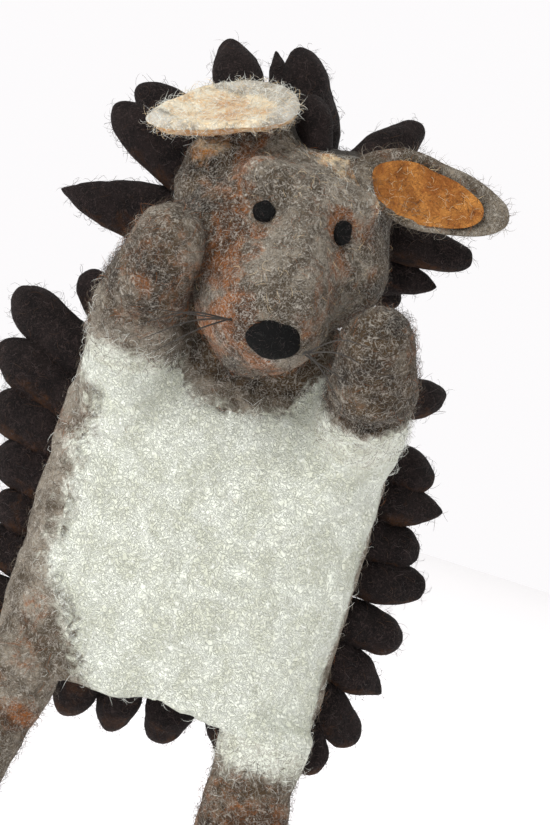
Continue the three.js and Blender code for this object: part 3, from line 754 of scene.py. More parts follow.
# %% [markdown]
# ## The head
# The head is one lump of wool: a broad skull, a muzzle that narrows to a round tip, a soft bridge between the eyes,
# full cheeks and a small chin. It is worked out as a distance to a few balls and capsules joined with a soft union,
# and a grid of directions from inside the head is then walked out to where that distance is zero. That keeps one even
# grid of points over the whole head, which a remesh would not.

# %% Distance to the head
HEAD = np.array([-2.0, -12, 212])
YAW = math.radians(10.5)
HEAD_SIDE = np.array([math.cos(YAW), math.sin(YAW), 0])
HEAD_FRONT = np.array([math.sin(YAW), -math.cos(YAW), 0])
HEAD_UP = np.array([0.0, 0, 1])


def head_point(across, forward, up):
    """A place given from the middle of the head: to its left, to its front and up."""
    return HEAD + across * HEAD_SIDE + forward * HEAD_FRONT + up * HEAD_UP


def ball_distance(points, centre, radii):
    """Distance to an ellipsoid along the head's own axes: (|p / r| - 1) times its smallest radius."""
    local = (points - centre) @ np.stack([HEAD_SIDE, HEAD_FRONT, HEAD_UP]).T / np.asarray(radii, float)
    return (np.linalg.norm(local, axis=-1) - 1) * min(radii)


def capsule_distance(points, start, end, start_radius, end_radius):
    """Distance to a tapered capsule: distance to the nearest point of its line, less the radius there."""
    line = end - start
    share = np.clip(((points - start) @ line) / (line @ line), 0, 1)
    nearest = start + share[..., None] * line
    return np.linalg.norm(points - nearest, axis=-1) - (start_radius + share * (end_radius - start_radius))


def soft_union(first, second, soft):
    """The smaller of two distances, rounded where they are within the soft width of each other."""
    share = np.clip(0.5 + 0.5 * (second - first) / soft, 0, 1)
    return second * (1 - share) + first * share - soft * share * (1 - share)


EAR_ROOTS = [((-40.0, -16, 231), (-42.0, -19, 239), 16, 12), ((-26.0, -14, 246), (-22.0, -18, 258), 15, 12),
             ((10.0, -12, 246), (20.0, -12, 251), 12, 11), ((30.0, -10, 243), (36.0, -9, 250), 12, 9)]


def head_distance(points):
    """Skull, brow, cheeks, muzzle, bridge and chin, softly joined, with the roots of both ears."""
    total = ball_distance(points, head_point(0, -3, 3), (48.0, 43.5, 43.0))
    total = soft_union(total, capsule_distance(points, head_point(-2, 14, -8), head_point(-3, 37, -30), 32, 26), 13)
    total = soft_union(total, capsule_distance(points, head_point(0, 36, 8), head_point(0, 47, -22), 11, 16.5), 9)
    total = soft_union(total, capsule_distance(points, head_point(-2, 38, -33), head_point(-3, 20, -42), 21.5, 18), 8)
    total = soft_union(total, capsule_distance(points, head_point(-31, 16, -6), head_point(-17, 30, -34), 17, 13), 12)
    total = soft_union(total, ball_distance(points, head_point(28, 12, -6), (17, 20, 17)), 12)
    for side in (-1, 1):
        total = soft_union(total, ball_distance(points, head_point(17 * side, 33, 24), (13, 9, 8)), 9)
    for start, end, wide, thin in EAR_ROOTS:
        total = soft_union(total, capsule_distance(points, np.array(start), np.array(end), wide, thin), 10)
    return total


def walked_out(start, directions, reach=110.0):
    """Halves the stretch between inside and outside again and again until the distance is zero along each direction."""
    low, high = np.zeros(len(directions)), np.full(len(directions), reach)
    for _ in range(22):
        middle = (low + high) / 2
        inside = head_distance(start + directions * middle[:, None]) < 0
        low, high = np.where(inside, middle, low), np.where(inside, high, middle)
    return start + directions * ((low + high) / 2)[:, None]


def head_skin(rings=150, around=170):
    """Directions on a globe whose poles are the nose and the nape, each walked out to the head's surface."""
    pole = unit(0.8 * HEAD_FRONT - 0.6 * HEAD_UP)
    side = HEAD_SIDE
    other = np.cross(pole, side)
    tilt = np.linspace(0, np.pi, rings + 2)[1:-1, None]
    turn = np.linspace(0, 2 * np.pi, around, endpoint=False)[None]
    directions = (np.cos(tilt) * np.ones_like(turn))[..., None] * pole \
        + (np.sin(tilt) * np.cos(turn))[..., None] * side + (np.sin(tilt) * np.sin(turn))[..., None] * other
    start = head_point(0, 12, -6)
    grid = walked_out(start, directions.reshape(-1, 3)).reshape(rings, around, 3)
    ends = walked_out(start, np.stack([pole, -pole]))
    return closed_skin(grid, ends[0], ends[1])


EYES = (np.array([-12.5, -57, 220.5]), np.array([24.0, -50, 222.5]))
head = head_skin()
x, y, z = head.points.T
eye_dent = sum(-1.6 * np.exp(-(np.linalg.norm(head.points - at, axis=1) / 8) ** 2)
               for at in EYES)
head.push(eye_dent + 0.8 * lattice_noise(head.points, 14, 21) + 0.5 * lattice_noise(head.points, 6, 22)
          + 0.28 * lattice_noise(head.points, 3, 23))
print("head, mm:", head.points.min(axis=0).round(), head.points.max(axis=0).round())

# %% Wool shares of the head
def head_shares(points):
    """Peach, rust and dark shares: rust on its right side and round the nose, peach by the ears, dark on its flanks as
    dark wool and painted shade, and dark under the chin as painted shadow.
    """
    x, y, z = points.T
    patches = lattice_noise(points, 16, 31) + 0.7 * lattice_noise(points, 7, 32)
    side = (points - HEAD) @ HEAD_SIDE
    rust = 0.25 + 0.65 * patches + 0.5 * smooth_step(-side, 0, 28) + 0.3 * smooth_step(192 - z, 0, 25)
    rust -= 0.3 * smooth_step(z, 226, 246) * smooth_step(x, -30, -10)
    peach = np.zeros(len(points))
    for place, wide in (((22, -34, 255), 12), ((33, -36, 240), 8), ((-46, -34, 246), 12), ((6, -30, 256), 8)):
        peach = np.maximum(peach, 1.1 * np.exp(-(np.linalg.norm(points - np.array(place), axis=1) / wide) ** 2))
    peach *= 0.9 + 0.35 * lattice_noise(points, 5, 33)
    crown = unit(np.array([0, 0.82, 0.574]))
    coat = smooth_step((points - HEAD) @ crown + 2.5 * patches, 14, 21)
    # The flanks turn darker away from the front, partly dark wool and partly painted shade; below the chin the dark
    # share is painted shadow.
    flank_wool_and_shade = 0.6 * smooth_step(y + 0.3 * np.abs(side), -32, -10) + 0.6 * smooth_step(np.abs(side), 22, 42)
    chin = 0.7 * smooth_step(164 - z, 0, 12)
    dark = np.clip(np.maximum(flank_wool_and_shade, chin) + 0.35 * lattice_noise(points, 9, 34), 0, 1)
    return np.stack([peach * (1 - coat), np.clip(rust, 0, 1) * (1 - coat), np.maximum(2.0 * coat, dark)], axis=-1)


head_wool_and_shade = head_shares(head.points)
head_piece = piece("head_felt", head, [head_felt], shares=head_wool_and_shade)
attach(head_piece, "head")
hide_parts("head")

# %% [markdown]
# ## Eyes and nose
# They are pads of hard black felt, needled on, so they follow the head under them and only their rims are rounded.
# Each is an oval disc of rings laid on the head along its outward direction, domed by a fixed thickness, and closed
# underneath.

# %% Felt pads on the face
def felt_pad(centre, outward, half_wide, half_high, thick, seed, around=44):
    """Rings from the middle out over the top, then back under: height = thick * (1 - share^2.6)^0.5 above the head."""
    outward = unit(outward)
    side = unit(np.cross(HEAD_UP, outward))
    up = np.cross(outward, side)
    turn = np.linspace(0, 2 * np.pi, around, endpoint=False)
    top = np.sin(np.linspace(0.06, 0.5, 12) * np.pi)
    share = np.concatenate([top, top[::-1]])
    high = np.concatenate([thick * (1 - top ** 2.6) ** 0.5, np.full(12, -1.5)])
    wobble = 1 + 0.05 * np.sin(2 * turn + seed) + 0.03 * np.sin(5 * turn + 2 * seed)
    flat = centre + share[:, None, None] * wobble[None, :, None] * (
        half_wide * np.cos(turn)[None, :, None] * side + half_high * np.sin(turn)[None, :, None] * up)
    foot = flat.reshape(-1, 3) - 25 * outward
    low, high_end = np.zeros(len(foot)), np.full(len(foot), 60.0)
    for _ in range(20):
        middle = (low + high_end) / 2
        inside = head_distance(foot + middle[:, None] * outward) < 0
        low, high_end = np.where(inside, middle, low), np.where(inside, high_end, middle)
    ground = foot + low[:, None] * outward
    rings = (ground + np.repeat(high, around)[:, None] * outward).reshape(len(share), around, 3)
    pad = closed_skin(rings, rings[0].mean(axis=0) + 0.02 * outward, rings[-1].mean(axis=0))
    return pad.push(0.22 * lattice_noise(pad.points, 3.0, seed))


face_pads = {
    "right_eye": felt_pad(EYES[0], np.array([-11.0, -45, 9]), 4.9, 4.7, 1.7, 3),
    "left_eye": felt_pad(EYES[1], np.array([26.0, -37, 10]), 4.7, 5.1, 1.7, 5),
    "nose": felt_pad(np.array([8.0, -72, 168.5]), np.array([0.13, -0.86, -0.38]), 11.2, 9.2, 4.6, 8)}
for name, pad in face_pads.items():
    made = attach(piece(name + "_felt", pad, [black_felt]), "head")
    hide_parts(name)

# %% [markdown]
# ## Ears
# Each ear is a leaf of felt, thicker at its rim and at its root, with a thin layer of rust wool felted into the
# hollow side. Its right ear is folded over towards the face, so its pale back shows, and its left ear stands out with
# the rust side forward. A leaf is a flat oval of rings over the top and back under, and a camber turns it into a
# shallow dish.

# %% Ear leaves
def ear_leaf(root, tip, normal, half_wide, thick, camber, droop, fullness, around=72):
    """Rings of an oval between root and tip, its width skewed by fullness, dished by camber and bent down by droop."""
    long = unit(tip - root)
    normal = unit(normal - (normal @ long) * long)
    across = np.cross(normal, long)
    half_long = np.linalg.norm(tip - root) / 2
    turn = np.linspace(0, 2 * np.pi, around, endpoint=False)
    top = np.sin(np.linspace(0.04, 0.5, 16) * np.pi)
    share = np.concatenate([top, top[::-1]])[:, None]
    face = np.concatenate([np.ones(16), -np.ones(16)])[:, None]
    u = share * np.cos(turn)
    wavy = 1 + 0.05 * np.sin(3 * turn + 1) + 0.02 * np.sin(7 * turn)
    v = share * np.sin(turn) * (1 - fullness * np.cos(turn) * share) * wavy
    rim = np.sqrt(np.clip(1 - share ** 4, 0, 1)) * (0.55 + 0.6 * np.exp(-((share - 0.86) / 0.13) ** 2))
    root_swell = 1 + 0.9 * np.exp(-((u + 1) / 0.28) ** 2)
    lift = -camber * (u ** 2 + v ** 2) - droop * np.clip(u, 0, 2) ** 2 + face * thick / 2 * rim * root_swell
    points = (root + tip) / 2 + u[..., None] * half_long * long + v[..., None] * half_wide * across \
        + lift[..., None] * normal
    return closed_skin(points, points[0].mean(axis=0), points[-1].mean(axis=0))


EARS = {
    "right": dict(root=np.array([-12.5, -22, 272.5]), tip=np.array([-72.5, -37, 244.5]),
                  normal=np.array([-0.26, -0.55, 0.79]), half_wide=24, thick=8.0, camber=-2.5, droop=2.5,
                  fullness=0.28),
    "left": dict(root=np.array([19.0, -20, 253.5]), tip=np.array([89.5, -26, 247.5]),
                 normal=np.array([0.05, -0.98, 0.18]), half_wide=16.8, thick=6.0, camber=-4.5, droop=-1.5,
                 fullness=0.05)}
ear_skins = {}
for side, shape in EARS.items():
    ear = ear_leaf(**shape)
    ear.push(0.8 * lattice_noise(ear.points, 10, 41) + 0.35 * lattice_noise(ear.points, 4, 42))
    spots = lattice_noise(ear.points, 10, 43)
    root_share = np.exp(-np.linalg.norm(ear.points - shape["root"], axis=1) / 14)
    if side == "right":
        under = smooth_step(-ear.normals @ unit(shape["normal"]), -0.35, 0.25)
        middle = (shape["root"] + shape["tip"]) / 2
        rim = smooth_step(np.linalg.norm((ear.points - middle) / (30, 24, 16), axis=1) + 0.12 * spots, 0.75, 1.15)
        peach = 0.42 * (1 - rim) * (1 + 0.8 * spots)
        wool = np.stack([0 * spots, np.clip(np.maximum(under + 0.28 * spots, peach), 0, 1),
                         np.clip(0.8 * root_share + 0.75 * rim * (1 - under) + 0.15 * spots, 0, 1)], axis=-1)
        made = piece("right_ear_felt", ear, [cream_felt], shares=wool)
    else:
        wool = np.stack([0 * spots, np.clip(0.2 + 0.4 * spots, 0, 1), 0.2 * root_share], axis=-1)
        made = piece("left_ear_felt", ear, [body_felt], shares=wool)
    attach(made, side + "_ear")
    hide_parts(side + "_ear")
    ear_skins[side] = ear

# %% Ear linings
def lining_leaf(shape, sign, near, far, wide, lift, low):
    """A thinner, smaller leaf on one face of an ear, from a near to a far share of its length, set low by some mm."""
    root, tip = shape["root"], shape["tip"]
    small = dict(shape, root=root + near * (tip - root), tip=root + far * (tip - root),
                 half_wide=shape["half_wide"] * wide, thick=1.5, camber=shape["camber"] * 0.6)
    long = unit(tip - root)
    normal = unit(shape["normal"] - (shape["normal"] @ long) * long)
    leaf = ear_leaf(**small)
    leaf.points = leaf.points + sign * lift * normal - low * np.cross(normal, long) * np.sign(np.cross(normal, long)[2])
    leaf.normals = leaf.point_normals()
    return leaf


for side, where in (("right", dict(sign=-1, near=0.19, far=0.9, wide=0.74, lift=3.1, low=0)),
                    ("left", dict(sign=1, near=0.1, far=0.85, wide=0.76, lift=3.0, low=1.8))):
    leaf = lining_leaf(EARS[side], **where)
    leaf.push(0.3 * lattice_noise(leaf.points, 6, 45))
    spots = lattice_noise(leaf.points, 9, 46)
    wool = np.stack([0 * spots, 0 * spots, np.clip(0.2 + 0.6 * spots, 0, 1)], axis=-1)
    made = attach(piece(side + "_ear_lining_felt", leaf, [rust_felt], shares=wool), side + "_ear")
    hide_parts(side + "_ear_lining")
    ear_skins[side + "_lining"] = leaf

# %% [markdown]
# ## The neck and the whiskers
# The neck is a short felt tube that the finger goes through, hidden between the shoulders and the chin. The whiskers
# are stiff waxed threads that leave the muzzle in a bundle and bend a little under their own weight.

# %% Neck and whiskers
neck = rounded_finger([(0, 2, 136), (0, 2, 158), (0, 2, 182)], [17.5, 16.0, 16.5], around=60, steps=40)
neck.push(0.6 * lattice_noise(neck.points, 9, 51))
neck_wool = np.tile([0.0, 0.3, 0.35], (len(neck.points), 1))
neck_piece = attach(piece("neck_felt", neck, [body_felt], shares=neck_wool), "neck")
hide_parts("neck")

WHISKERS = {
    "right": ((-10.0, -68, 173), [(-47, -92, 157), (-42, -95, 153), (-36, -92, 150), (-40, -97, 166)]),
    "left": ((21.5, -66, 168), [(45, -98, 176), (47, -99, 168), (39, -96, 153), (43, -97, 160)])}
bristle = hair("waxed thread", dye(58, 54, 50), rough=0.45)
for side, (root, tips) in WHISKERS.items():
    strands = []
    for number, tip in enumerate(tips):
        start = np.array(root) + np.array([0.7 * (number - 1.5) * 0.6, 0, 0.8 * (number % 3 - 1)])
        end = np.array(tip, float)
        half = (start + end) / 2 + np.array([0, -2.5, 4.5 - 1.5 * number])
        path = curve_through([start, half, end], 22)
        thin = 0.42 * (1 - 0.75 * np.linspace(0, 1, 22) ** 1.5)
        strands.append(closed_skin(rings_along(path, thin, 6), path[0], path[-1]))
    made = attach(piece(side + "_whiskers_thread", joined(strands), [bristle]), "head")
    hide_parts(side + "_whiskers")

# %% [markdown]
# ## Quills
# Each quill is a soft roll of dark wool, thick in the middle and closed by a blunt or a pointed tip, and no two lean
# quite the same way. One function carries rings along a bent path and swells them, and the rows and rings below only
# say where each quill stands, which way it leans and how long it is.

# %% One quill
def quill(root, direction, length, radius, pointed, seed):
    """Rings along a bent path: radius * swell * tip, with swell a half sine and tip a root of 1 - share^2."""
    chance = np.random.default_rng(seed)
    direction = unit(direction)
    share = np.sin(np.linspace(0, np.pi / 2, 24))
    bend = np.cross(direction, unit(chance.normal(size=3))) * length * chance.uniform(0.05, 0.2)
    path = root - 4 * direction + share[:, None] * (length + 4) * direction + share[:, None] ** 2 * bend
    swell = 0.82 + 0.22 * np.sin(np.pi * np.clip(share / 0.9, 0, 1)) + 0.05 * np.sin(share * 11 + seed)
    start = 0.45 if pointed else 0.7
    tip = np.clip((share - start) / (1 - start), 0, 1)
    close = (1 - tip ** 1.9) ** 0.75 if pointed else np.sqrt(1 - tip ** 2.3)
    rings = rings_along(path[:-1], (radius * swell * close)[:-1], 20)
    made = closed_skin(rings, path[0] - 0.5 * direction, path[-1])
    lumps = 0.65 * lattice_noise(made.points, 8, seed + 60) + 0.35 * lattice_noise(made.points, 3.5, seed + 61)
    return made.push(lumps)


def quill_piece(name, skins, body_name, node):
    """All the quills of one row or ring as one piece, rust where they face down."""
    row = joined(skins)
    normals = np.concatenate([skin.normals for skin in skins])
    rust = np.clip(0.75 * smooth_step(-normals[:, 2], 0.1, 0.9) + 0.5 * lattice_noise(row.points, 12, 63), 0, 1)
    wool = np.stack([0 * rust, rust * 0.8, 0 * rust], axis=-1)
    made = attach(piece(name, row, [quill_felt], shares=wool), body_name)
    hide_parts(node)
    row.normals = normals
    return row

# %% Quill rows on the back
QUILL_RADIUS, THICK_QUILL, ROW_PITCH, LOWEST_ROW = 10.4, 12.5, 18.6, 5.5
POINTED_ENDS = ((-1, 1), (1, 6), (1, 2))
RIGHT_ENDS = ((-35, 24), (-12, 26), (4, 22), (14, 20), (12, 27), (17, 36), (24, 45), (23, 54), (24, 48))
LEFT_ENDS = ((-60, 18), (-37, 30), (-18, 31), (-15, 30), (2, 32), (-4, 25), (0, 31), (-7, 27), (17.5, 52))


def shoulder_factor(height):
    """How much narrower the bag is at a height: 1 below the shoulders, then a rounded fall."""
    rise = max(0.0, (height - 112) / 49)
    return (1 - rise ** 2.6) ** (1 / 2.6)


quill_skins = {}
for index in range(9):
    height = LOWEST_ROW + ROW_PITCH * index
    factor = shoulder_factor(height)
    wide, deep = 75 * factor, 25 * factor
    count = 2 if index == 8 else 5 + (index + 1) % 2
    reach = (wide - 20 * factor) * (0.82 if count == 5 else 1)
    row = []
    for place in range(count):
        x = reach * (-1 + 2 * place / (count - 1))
        y = deep * (1 - abs(x / wide) ** 2.6) ** (1 / 2.6)
        lift = -1.2 if index == 0 else 0.22 + 0.03 * ((place * 5 + index * 3) % 4)
        seed = 100 + index * 10 + place
        chance = np.random.default_rng(seed)
        lean, rise, grow = chance.uniform(-0.28, 0.28), chance.uniform(-0.25, 0.25), chance.uniform(0.88, 1.12)
        row.append(quill(np.array([x, y + 1, height]), (x / 105 + lean, 0.9, lift + rise * (index > 0)), 39 * grow,
                         QUILL_RADIUS * chance.uniform(0.88, 1.1), seed % 5 == 0, seed))
    for side, (lean, length) in ((-1, RIGHT_ENDS[index]), (1, LEFT_ENDS[index])):
        root = np.array([side * (wide - 4), 17 if index == 8 else 11, height])
        lean = math.radians(lean)
        direction = (side * math.cos(lean), 0.35 if index == 8 else 0.2, math.sin(lean))
        seed = 200 + index * 10 + side
        thick = THICK_QUILL if side < 0 and index > 3 else QUILL_RADIUS
        row.append(quill(root, direction, length + 4, thick, (side, index) in POINTED_ENDS, seed))
    name = f"back_quill_row_{index + 1}"
    quill_skins[name] = quill_piece(name + "_felt", row, "glove", name)

# %% Quill rings on the head
HEAD_RADIUS = 47
POINTED_ON_HEAD = (300, 306, 330, 337)
CROWN = np.array([0, math.cos(math.radians(35)), math.sin(math.radians(35))])
CROWN_UP = np.array([0, -math.sin(math.radians(35)), math.cos(math.radians(35))])
RINGS = {
    "outer": (60, [(-110, -2.25, 0.64, -0.14, 1.3), (-82, -1.98, 0.53, 0.76, 1.1), (-38, -1.06, 0.66, 1.83, 1.1),
                   (4, -0.15, 0.09, 1.46, 0.8), (32, 0.93, 0.51, 1.51, 0.95), (80, 1.79, 0.57, 0.54, 0.9),
                   (108, 1.55, 0.51, 0.2, 0.85)]),
    "middle": (34, [(-20, -0.62, 0.86, 2.02, 0.8), (10, -0.33, 0.74, 2.08, 1.1), (-67, -1.77, 0.98, 1.26, 1.15),
                    (70, 0.98, 1.0, 0.92, 1), (-112, -1.3, 1.26, 0.1, 1), (115, 1.28, 0.9, -0.1, 0.9),
                    (-156, -0.4, 1.66, 0.1, 1), (158, 0.45, 1.62, 0.12, 1)]),
    "inner": (9, [(-10, -0.1, 1.4, 1.1, 1), (110, 0.35, 1.62, 0.8, 1), (-120, -0.45, 1.6, 0.78, 1)])}
for ring, (polar, places) in RINGS.items():
    polar = math.radians(polar)
    row = []
    for number, (azimuth, *tip, thickness) in enumerate(places):
        azimuth = math.radians(azimuth)
        out = math.cos(polar) * CROWN + math.sin(polar) * (
            math.cos(azimuth) * CROWN_UP + math.sin(azimuth) * np.array([1, 0, 0]))
        root, end = HEAD + (HEAD_RADIUS - 2) * out, HEAD + HEAD_RADIUS * np.array(tip)
        seed = {"outer": 300, "middle": 330, "inner": 360}[ring] + number
        long = np.linalg.norm(end - root)
        row.append(quill(root, end - root, long, QUILL_RADIUS * thickness, seed in POINTED_ON_HEAD, seed))
    name = "head_quill_ring_" + ring
    quill_skins[name] = quill_piece(name + "_felt", row, "head", name)

# %% [markdown]
# ## Fuzz
# Wet felt keeps a halo of single curling hairs, and it is the first thing that tells felt from clay. Here every hair
# is a thin three-sided prism that starts in the surface, lifts off, curls round and thins to a point. Places are
# picked at random with a chance that follows area, and all hairs of a piece are made at once as arrays. Several plain
# colours share one piece, chosen by the shares under each hair, so painted shade there darkens the hairs too.

# %% Hairs on a skin
def hair_roots(skin, count, chance):
    """Random places: triangles picked by area, then a point in each as 1 - sqrt(r), sqrt(r)(1 - s), sqrt(r)s."""
    triangles = skin.triangles()
    corners = skin.points[triangles]
    area = np.linalg.norm(np.cross(corners[:, 1] - corners[:, 0], corners[:, 2] - corners[:, 0]), axis=1)
    picked = chance.choice(len(triangles), count, p=area / area.sum())
    root, share = np.sqrt(chance.random(count)), chance.random(count)
    weights = np.stack([1 - root, root * (1 - share), root * share], axis=1)[:, :, None]
    places = (skin.points[triangles[picked]] * weights).sum(axis=1)
    normals = unit((skin.normals[triangles[picked]] * weights).sum(axis=1))
    return places, normals, triangles[picked]


def hair_prisms(places, normals, chance, length, lift, thick):
    """Five stations per hair, each turned by the curl: three points round each of the first four, one at the last."""
    count = len(places)
    side = unit(np.cross(normals, chance.normal(size=(count, 3))))
    other = np.cross(normals, side)
    long = chance.uniform(*length, count)
    curl = chance.normal(0, 2.4, count)
    share = np.linspace(0, 1, 5)
    turn = curl[:, None] * share[None, 1:]
    heading = np.cos(turn)[..., None] * side[:, None] + np.sin(turn)[..., None] * other[:, None]
    flat = np.concatenate([np.zeros((count, 1, 3)), np.cumsum(heading, axis=1) * (long / 4)[:, None, None]], axis=1)
    fall = chance.uniform(0.35, 0.95, count)
    rise = chance.uniform(*lift, count)[:, None] * np.sin(np.pi * fall[:, None] * share) - 0.35 * (1 - share)
    path = places[:, None] + flat + rise[..., None] * normals[:, None]
    across = np.concatenate([other[:, None], np.cross(normals[:, None], heading)], axis=1)[:, :4]
    wide = chance.uniform(*thick, count)[:, None] * np.array([0.9, 1.0, 0.85, 0.55])
    angle = np.radians([90, 210, 330])
    ring = path[:, :4, None] + wide[..., None, None] * (
        np.cos(angle)[:, None] * across[:, :, None] + np.sin(angle)[:, None] * normals[:, None, None])
    points = np.concatenate([ring.reshape(count, 12, 3), path[:, 4:]], axis=1).reshape(-1, 3)
    row = np.arange(3)
    after = (row + 1) % 3
    quads = np.concatenate([np.stack([k * 3 + row, k * 3 + after, (k + 1) * 3 + after, (k + 1) * 3 + row], axis=1)
                            for k in range(3)])
    tris = np.concatenate([np.stack([9 + row, 9 + after, np.full(3, 12)], axis=1), [[0, 2, 1]]])
    shift = (np.arange(count) * 13)[:, None, None]
    return Skin(points, (quads + shift).reshape(-1, 4), (tris + shift).reshape(-1, 3)).outward()


HAIR_ORDER = list(HAIRS)


def hair_colours(shares, table, chance):
    """For each hair a colour: white, rust or dark where that share (the dark one partly painted shade) beats a throw of
    dice, else from the table.
    """
    names = np.array([HAIR_ORDER.index(name) for name in table])[chance.integers(0, len(table), len(shares))]
    throw = chance.random((len(shares), 3))
    rust = np.array([HAIR_ORDER.index(name) for name in ("rust", "brown")])[chance.integers(0, 2, len(shares))]
    darks = np.array([HAIR_ORDER.index(name) for name in ("quill", "quill", "brown", "dark")])
    dark = darks[chance.integers(0, 4, len(shares))]
    names = np.where(throw[:, 1] < shares[:, 1] * 0.8, rust, names)
    # Where the dark share is painted shade, as under the chin and on the head's sides, the hairs there turn dark too.
    names = np.where(throw[:, 2] < shares[:, 2] * 0.85, dark, names)
    names = np.where(shares[:, 2] > 1.3, HAIR_ORDER.index("quill"), names)
    return np.where(throw[:, 0] < shares[:, 0] * 0.95, HAIR_ORDER.index("white"), names)


def fuzz(name, skin, count, rider, table, shares=None, length=(3.5, 8.5), lift=(0.8, 3.0), thick=(0.055, 0.105),
         seed=1):
    """A piece of hairs on a skin, riding its body as the skin does, or unattached where the skin spans a joint."""
    chance = np.random.default_rng(seed)
    places, normals, corners = hair_roots(skin, count, chance)
    made = hair_prisms(places, normals, chance, length, lift, thick)
    under = np.zeros((count, 3)) if shares is None else shares[corners].mean(axis=1)
    colour = hair_colours(under, table, chance)
    used, slot = np.unique(colour, return_inverse=True)
    slots = np.concatenate([np.repeat(slot, 9), np.repeat(slot, 4)])
    return ride_or_bend(piece(name, made, [HAIRS[HAIR_ORDER[k]] for k in used], slots=slots), rider)

# %% Fuzz of the body
GREYS = ["pale", "grey", "grey", "dark", "dark", "dark", "brown"]
DENSITY = {"front_felt": 2600, "back_felt": 1800, "belly_felt": 3400, "right_sleeve_felt": 900, "left_sleeve_felt": 900,
           "right_paw_felt": 1900, "left_paw_felt": 1500, "right_leg_felt": 2400, "left_leg_felt": 2400,
           "right_foot_felt": 800, "left_foot_felt": 800}
for number, (name, (part, own, rider)) in enumerate(body_parts.items()):
    table = ["white", "white", "pale"] if name == "belly_felt" else GREYS
    soft = dict(length=(3, 6), lift=(0.3, 1.4), thick=(0.035, 0.07)) if name == "belly_felt" else {}
    fuzz(name.replace("felt", "fuzz"), part, DENSITY[name], rider, table, shares=own, seed=500 + number, **soft)

# %% Fuzz of the head, ears and quills
fuzz("head_fuzz", head, 8800, "head", GREYS + ["pale", "rust", "cream"], shares=head_wool_and_shade, length=(2.6, 6.5),
     lift=(0.5, 2.1), thick=(0.045, 0.09), seed=520)
for number, (name, pad) in enumerate(face_pads.items()):
    fuzz(name + "_fuzz", pad, 160 if name != "nose" else 420, "head", ["black", "black", "quill pale"], length=(1.8, 4),
         lift=(0.3, 1.1), thick=(0.04, 0.08), seed=525 + number)
for number, (side, table) in enumerate((("right", ["cream", "white", "white", "pale"]), ("left", GREYS))):
    fuzz(side + "_ear_fuzz", ear_skins[side], 1300, side + "_ear", table, length=(3, 8), lift=(0.6, 2.6),
         seed=530 + number)
    fuzz(side + "_ear_lining_fuzz", ear_skins[side + "_lining"], 500, side + "_ear", ["rust", "brown", "rust", "cream"],
         length=(3, 6), lift=(0.4, 1.8), seed=540 + number)
for number, (name, row) in enumerate(quill_skins.items()):
    fuzz(name + "_fuzz", row, int(len(row.points) * 0.36), "head" if name.startswith("head") else "glove",
         ["quill", "quill", "quill pale", "brown"], length=(4, 9), lift=(0.8, 3.2), seed=550 + number)

# %% [markdown]
# ## Floor, light and camera
# The floor is a wide pale disc under the feet. The light is soft and comes mostly from the upper left, with an even
# fill from all round, so the wool keeps its colour in the shade. The camera is long and level, and turned a little
# about its own axis, so the puppet leans in the frame as it does on a raised hand.

# %% Floor
def plain_paint(name, colour, glow):
    """A matt paint with a little light of its own, so the floor stays pale to its edge."""
    material = bpy.data.materials.new(name)
    material.use_nodes = True
    surface = next(node for node in material.node_tree.nodes if node.type == "BSDF_PRINCIPLED")
    surface.inputs["Base Color"].default_value = colour
    surface.inputs["Roughness"].default_value = 0.9
    surface.inputs["Emission Color"].default_value = colour
    surface.inputs["Emission Strength"].default_value = glow
    return material


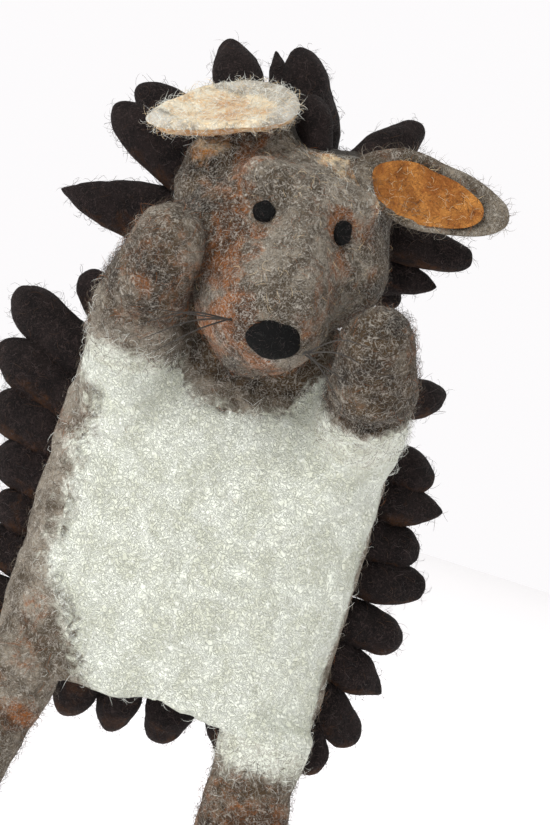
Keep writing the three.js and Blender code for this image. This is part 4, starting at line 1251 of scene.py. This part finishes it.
turn = np.linspace(0, 2 * np.pi, 96, endpoint=False)
FLOOR_TOP, FLOOR_UNDER, FLOOR_RADIUS = -126, -136, 4000
disc = np.stack([np.stack([FLOOR_RADIUS * r * np.cos(turn), FLOOR_RADIUS * r * np.sin(turn), np.full(96, z)], axis=-1)
                 for r, z in ((0.2, FLOOR_TOP), (0.6, FLOOR_TOP), (1, FLOOR_TOP), (1, FLOOR_UNDER),
                              (0.2, FLOOR_UNDER))])
floor = piece("studio_floor", closed_skin(disc, (0, 0, FLOOR_TOP), (0, 0, FLOOR_UNDER)),
              [plain_paint("floor paint", (0.9, 0.885, 0.9, 1), 0.5)])

# %% Light
world = bpy.data.worlds.new("studio")
bpy.context.scene.world = world
world.use_nodes = True
tree = world.node_tree
tree.nodes.clear()
seen = tree.nodes.new("ShaderNodeLightPath")
fill, backdrop = tree.nodes.new("ShaderNodeBackground"), tree.nodes.new("ShaderNodeBackground")
for node, colour, strength in ((fill, (1.0, 0.99, 0.97, 1), 0.62), (backdrop, (0.98, 0.965, 0.975, 1), 1.0)):
    node.inputs["Color"].default_value = colour
    node.inputs["Strength"].default_value = strength
choice, out = tree.nodes.new("ShaderNodeMixShader"), tree.nodes.new("ShaderNodeOutputWorld")
tree.links.new(seen.outputs["Is Camera Ray"], choice.inputs["Fac"])
tree.links.new(fill.outputs[0], choice.inputs[1])
tree.links.new(backdrop.outputs[0], choice.inputs[2])
tree.links.new(choice.outputs[0], out.inputs["Surface"])


def soft_light(name, place, target, size, watts):
    """A square area light turned to face a target."""
    light = bpy.data.lights.new(name, "AREA")
    light.size, light.energy = size, watts
    made = bpy.data.objects.new(name, light)
    made.location = place
    made.rotation_euler = (mathutils.Vector(target) - mathutils.Vector(place)).to_track_quat("-Z", "Y").to_euler()
    bpy.context.scene.collection.objects.link(made)


soft_light("key", (-0.75, -0.95, 0.95), (0, 0, 0.13), 0.7, 11.5)
soft_light("rim", (0.5, 0.9, 0.9), (0, 0, 0.15), 0.8, 4.0)
bpy.context.scene.view_settings.view_transform = "Standard"

# %% Camera
lens = bpy.data.cameras.new("camera")
lens.lens, lens.sensor_width, lens.sensor_fit = 70, 36, "AUTO"
camera = bpy.data.objects.new("camera", lens)
camera.matrix_world = mathutils.Matrix(
    ((0.956, -0.292, 0, 0.017), (0, 0, -1, -0.726), (0.292, 0.956, 0, 0.141), (0, 0, 0, 1)))
bpy.context.scene.collection.objects.link(camera)
bpy.context.scene.camera = camera
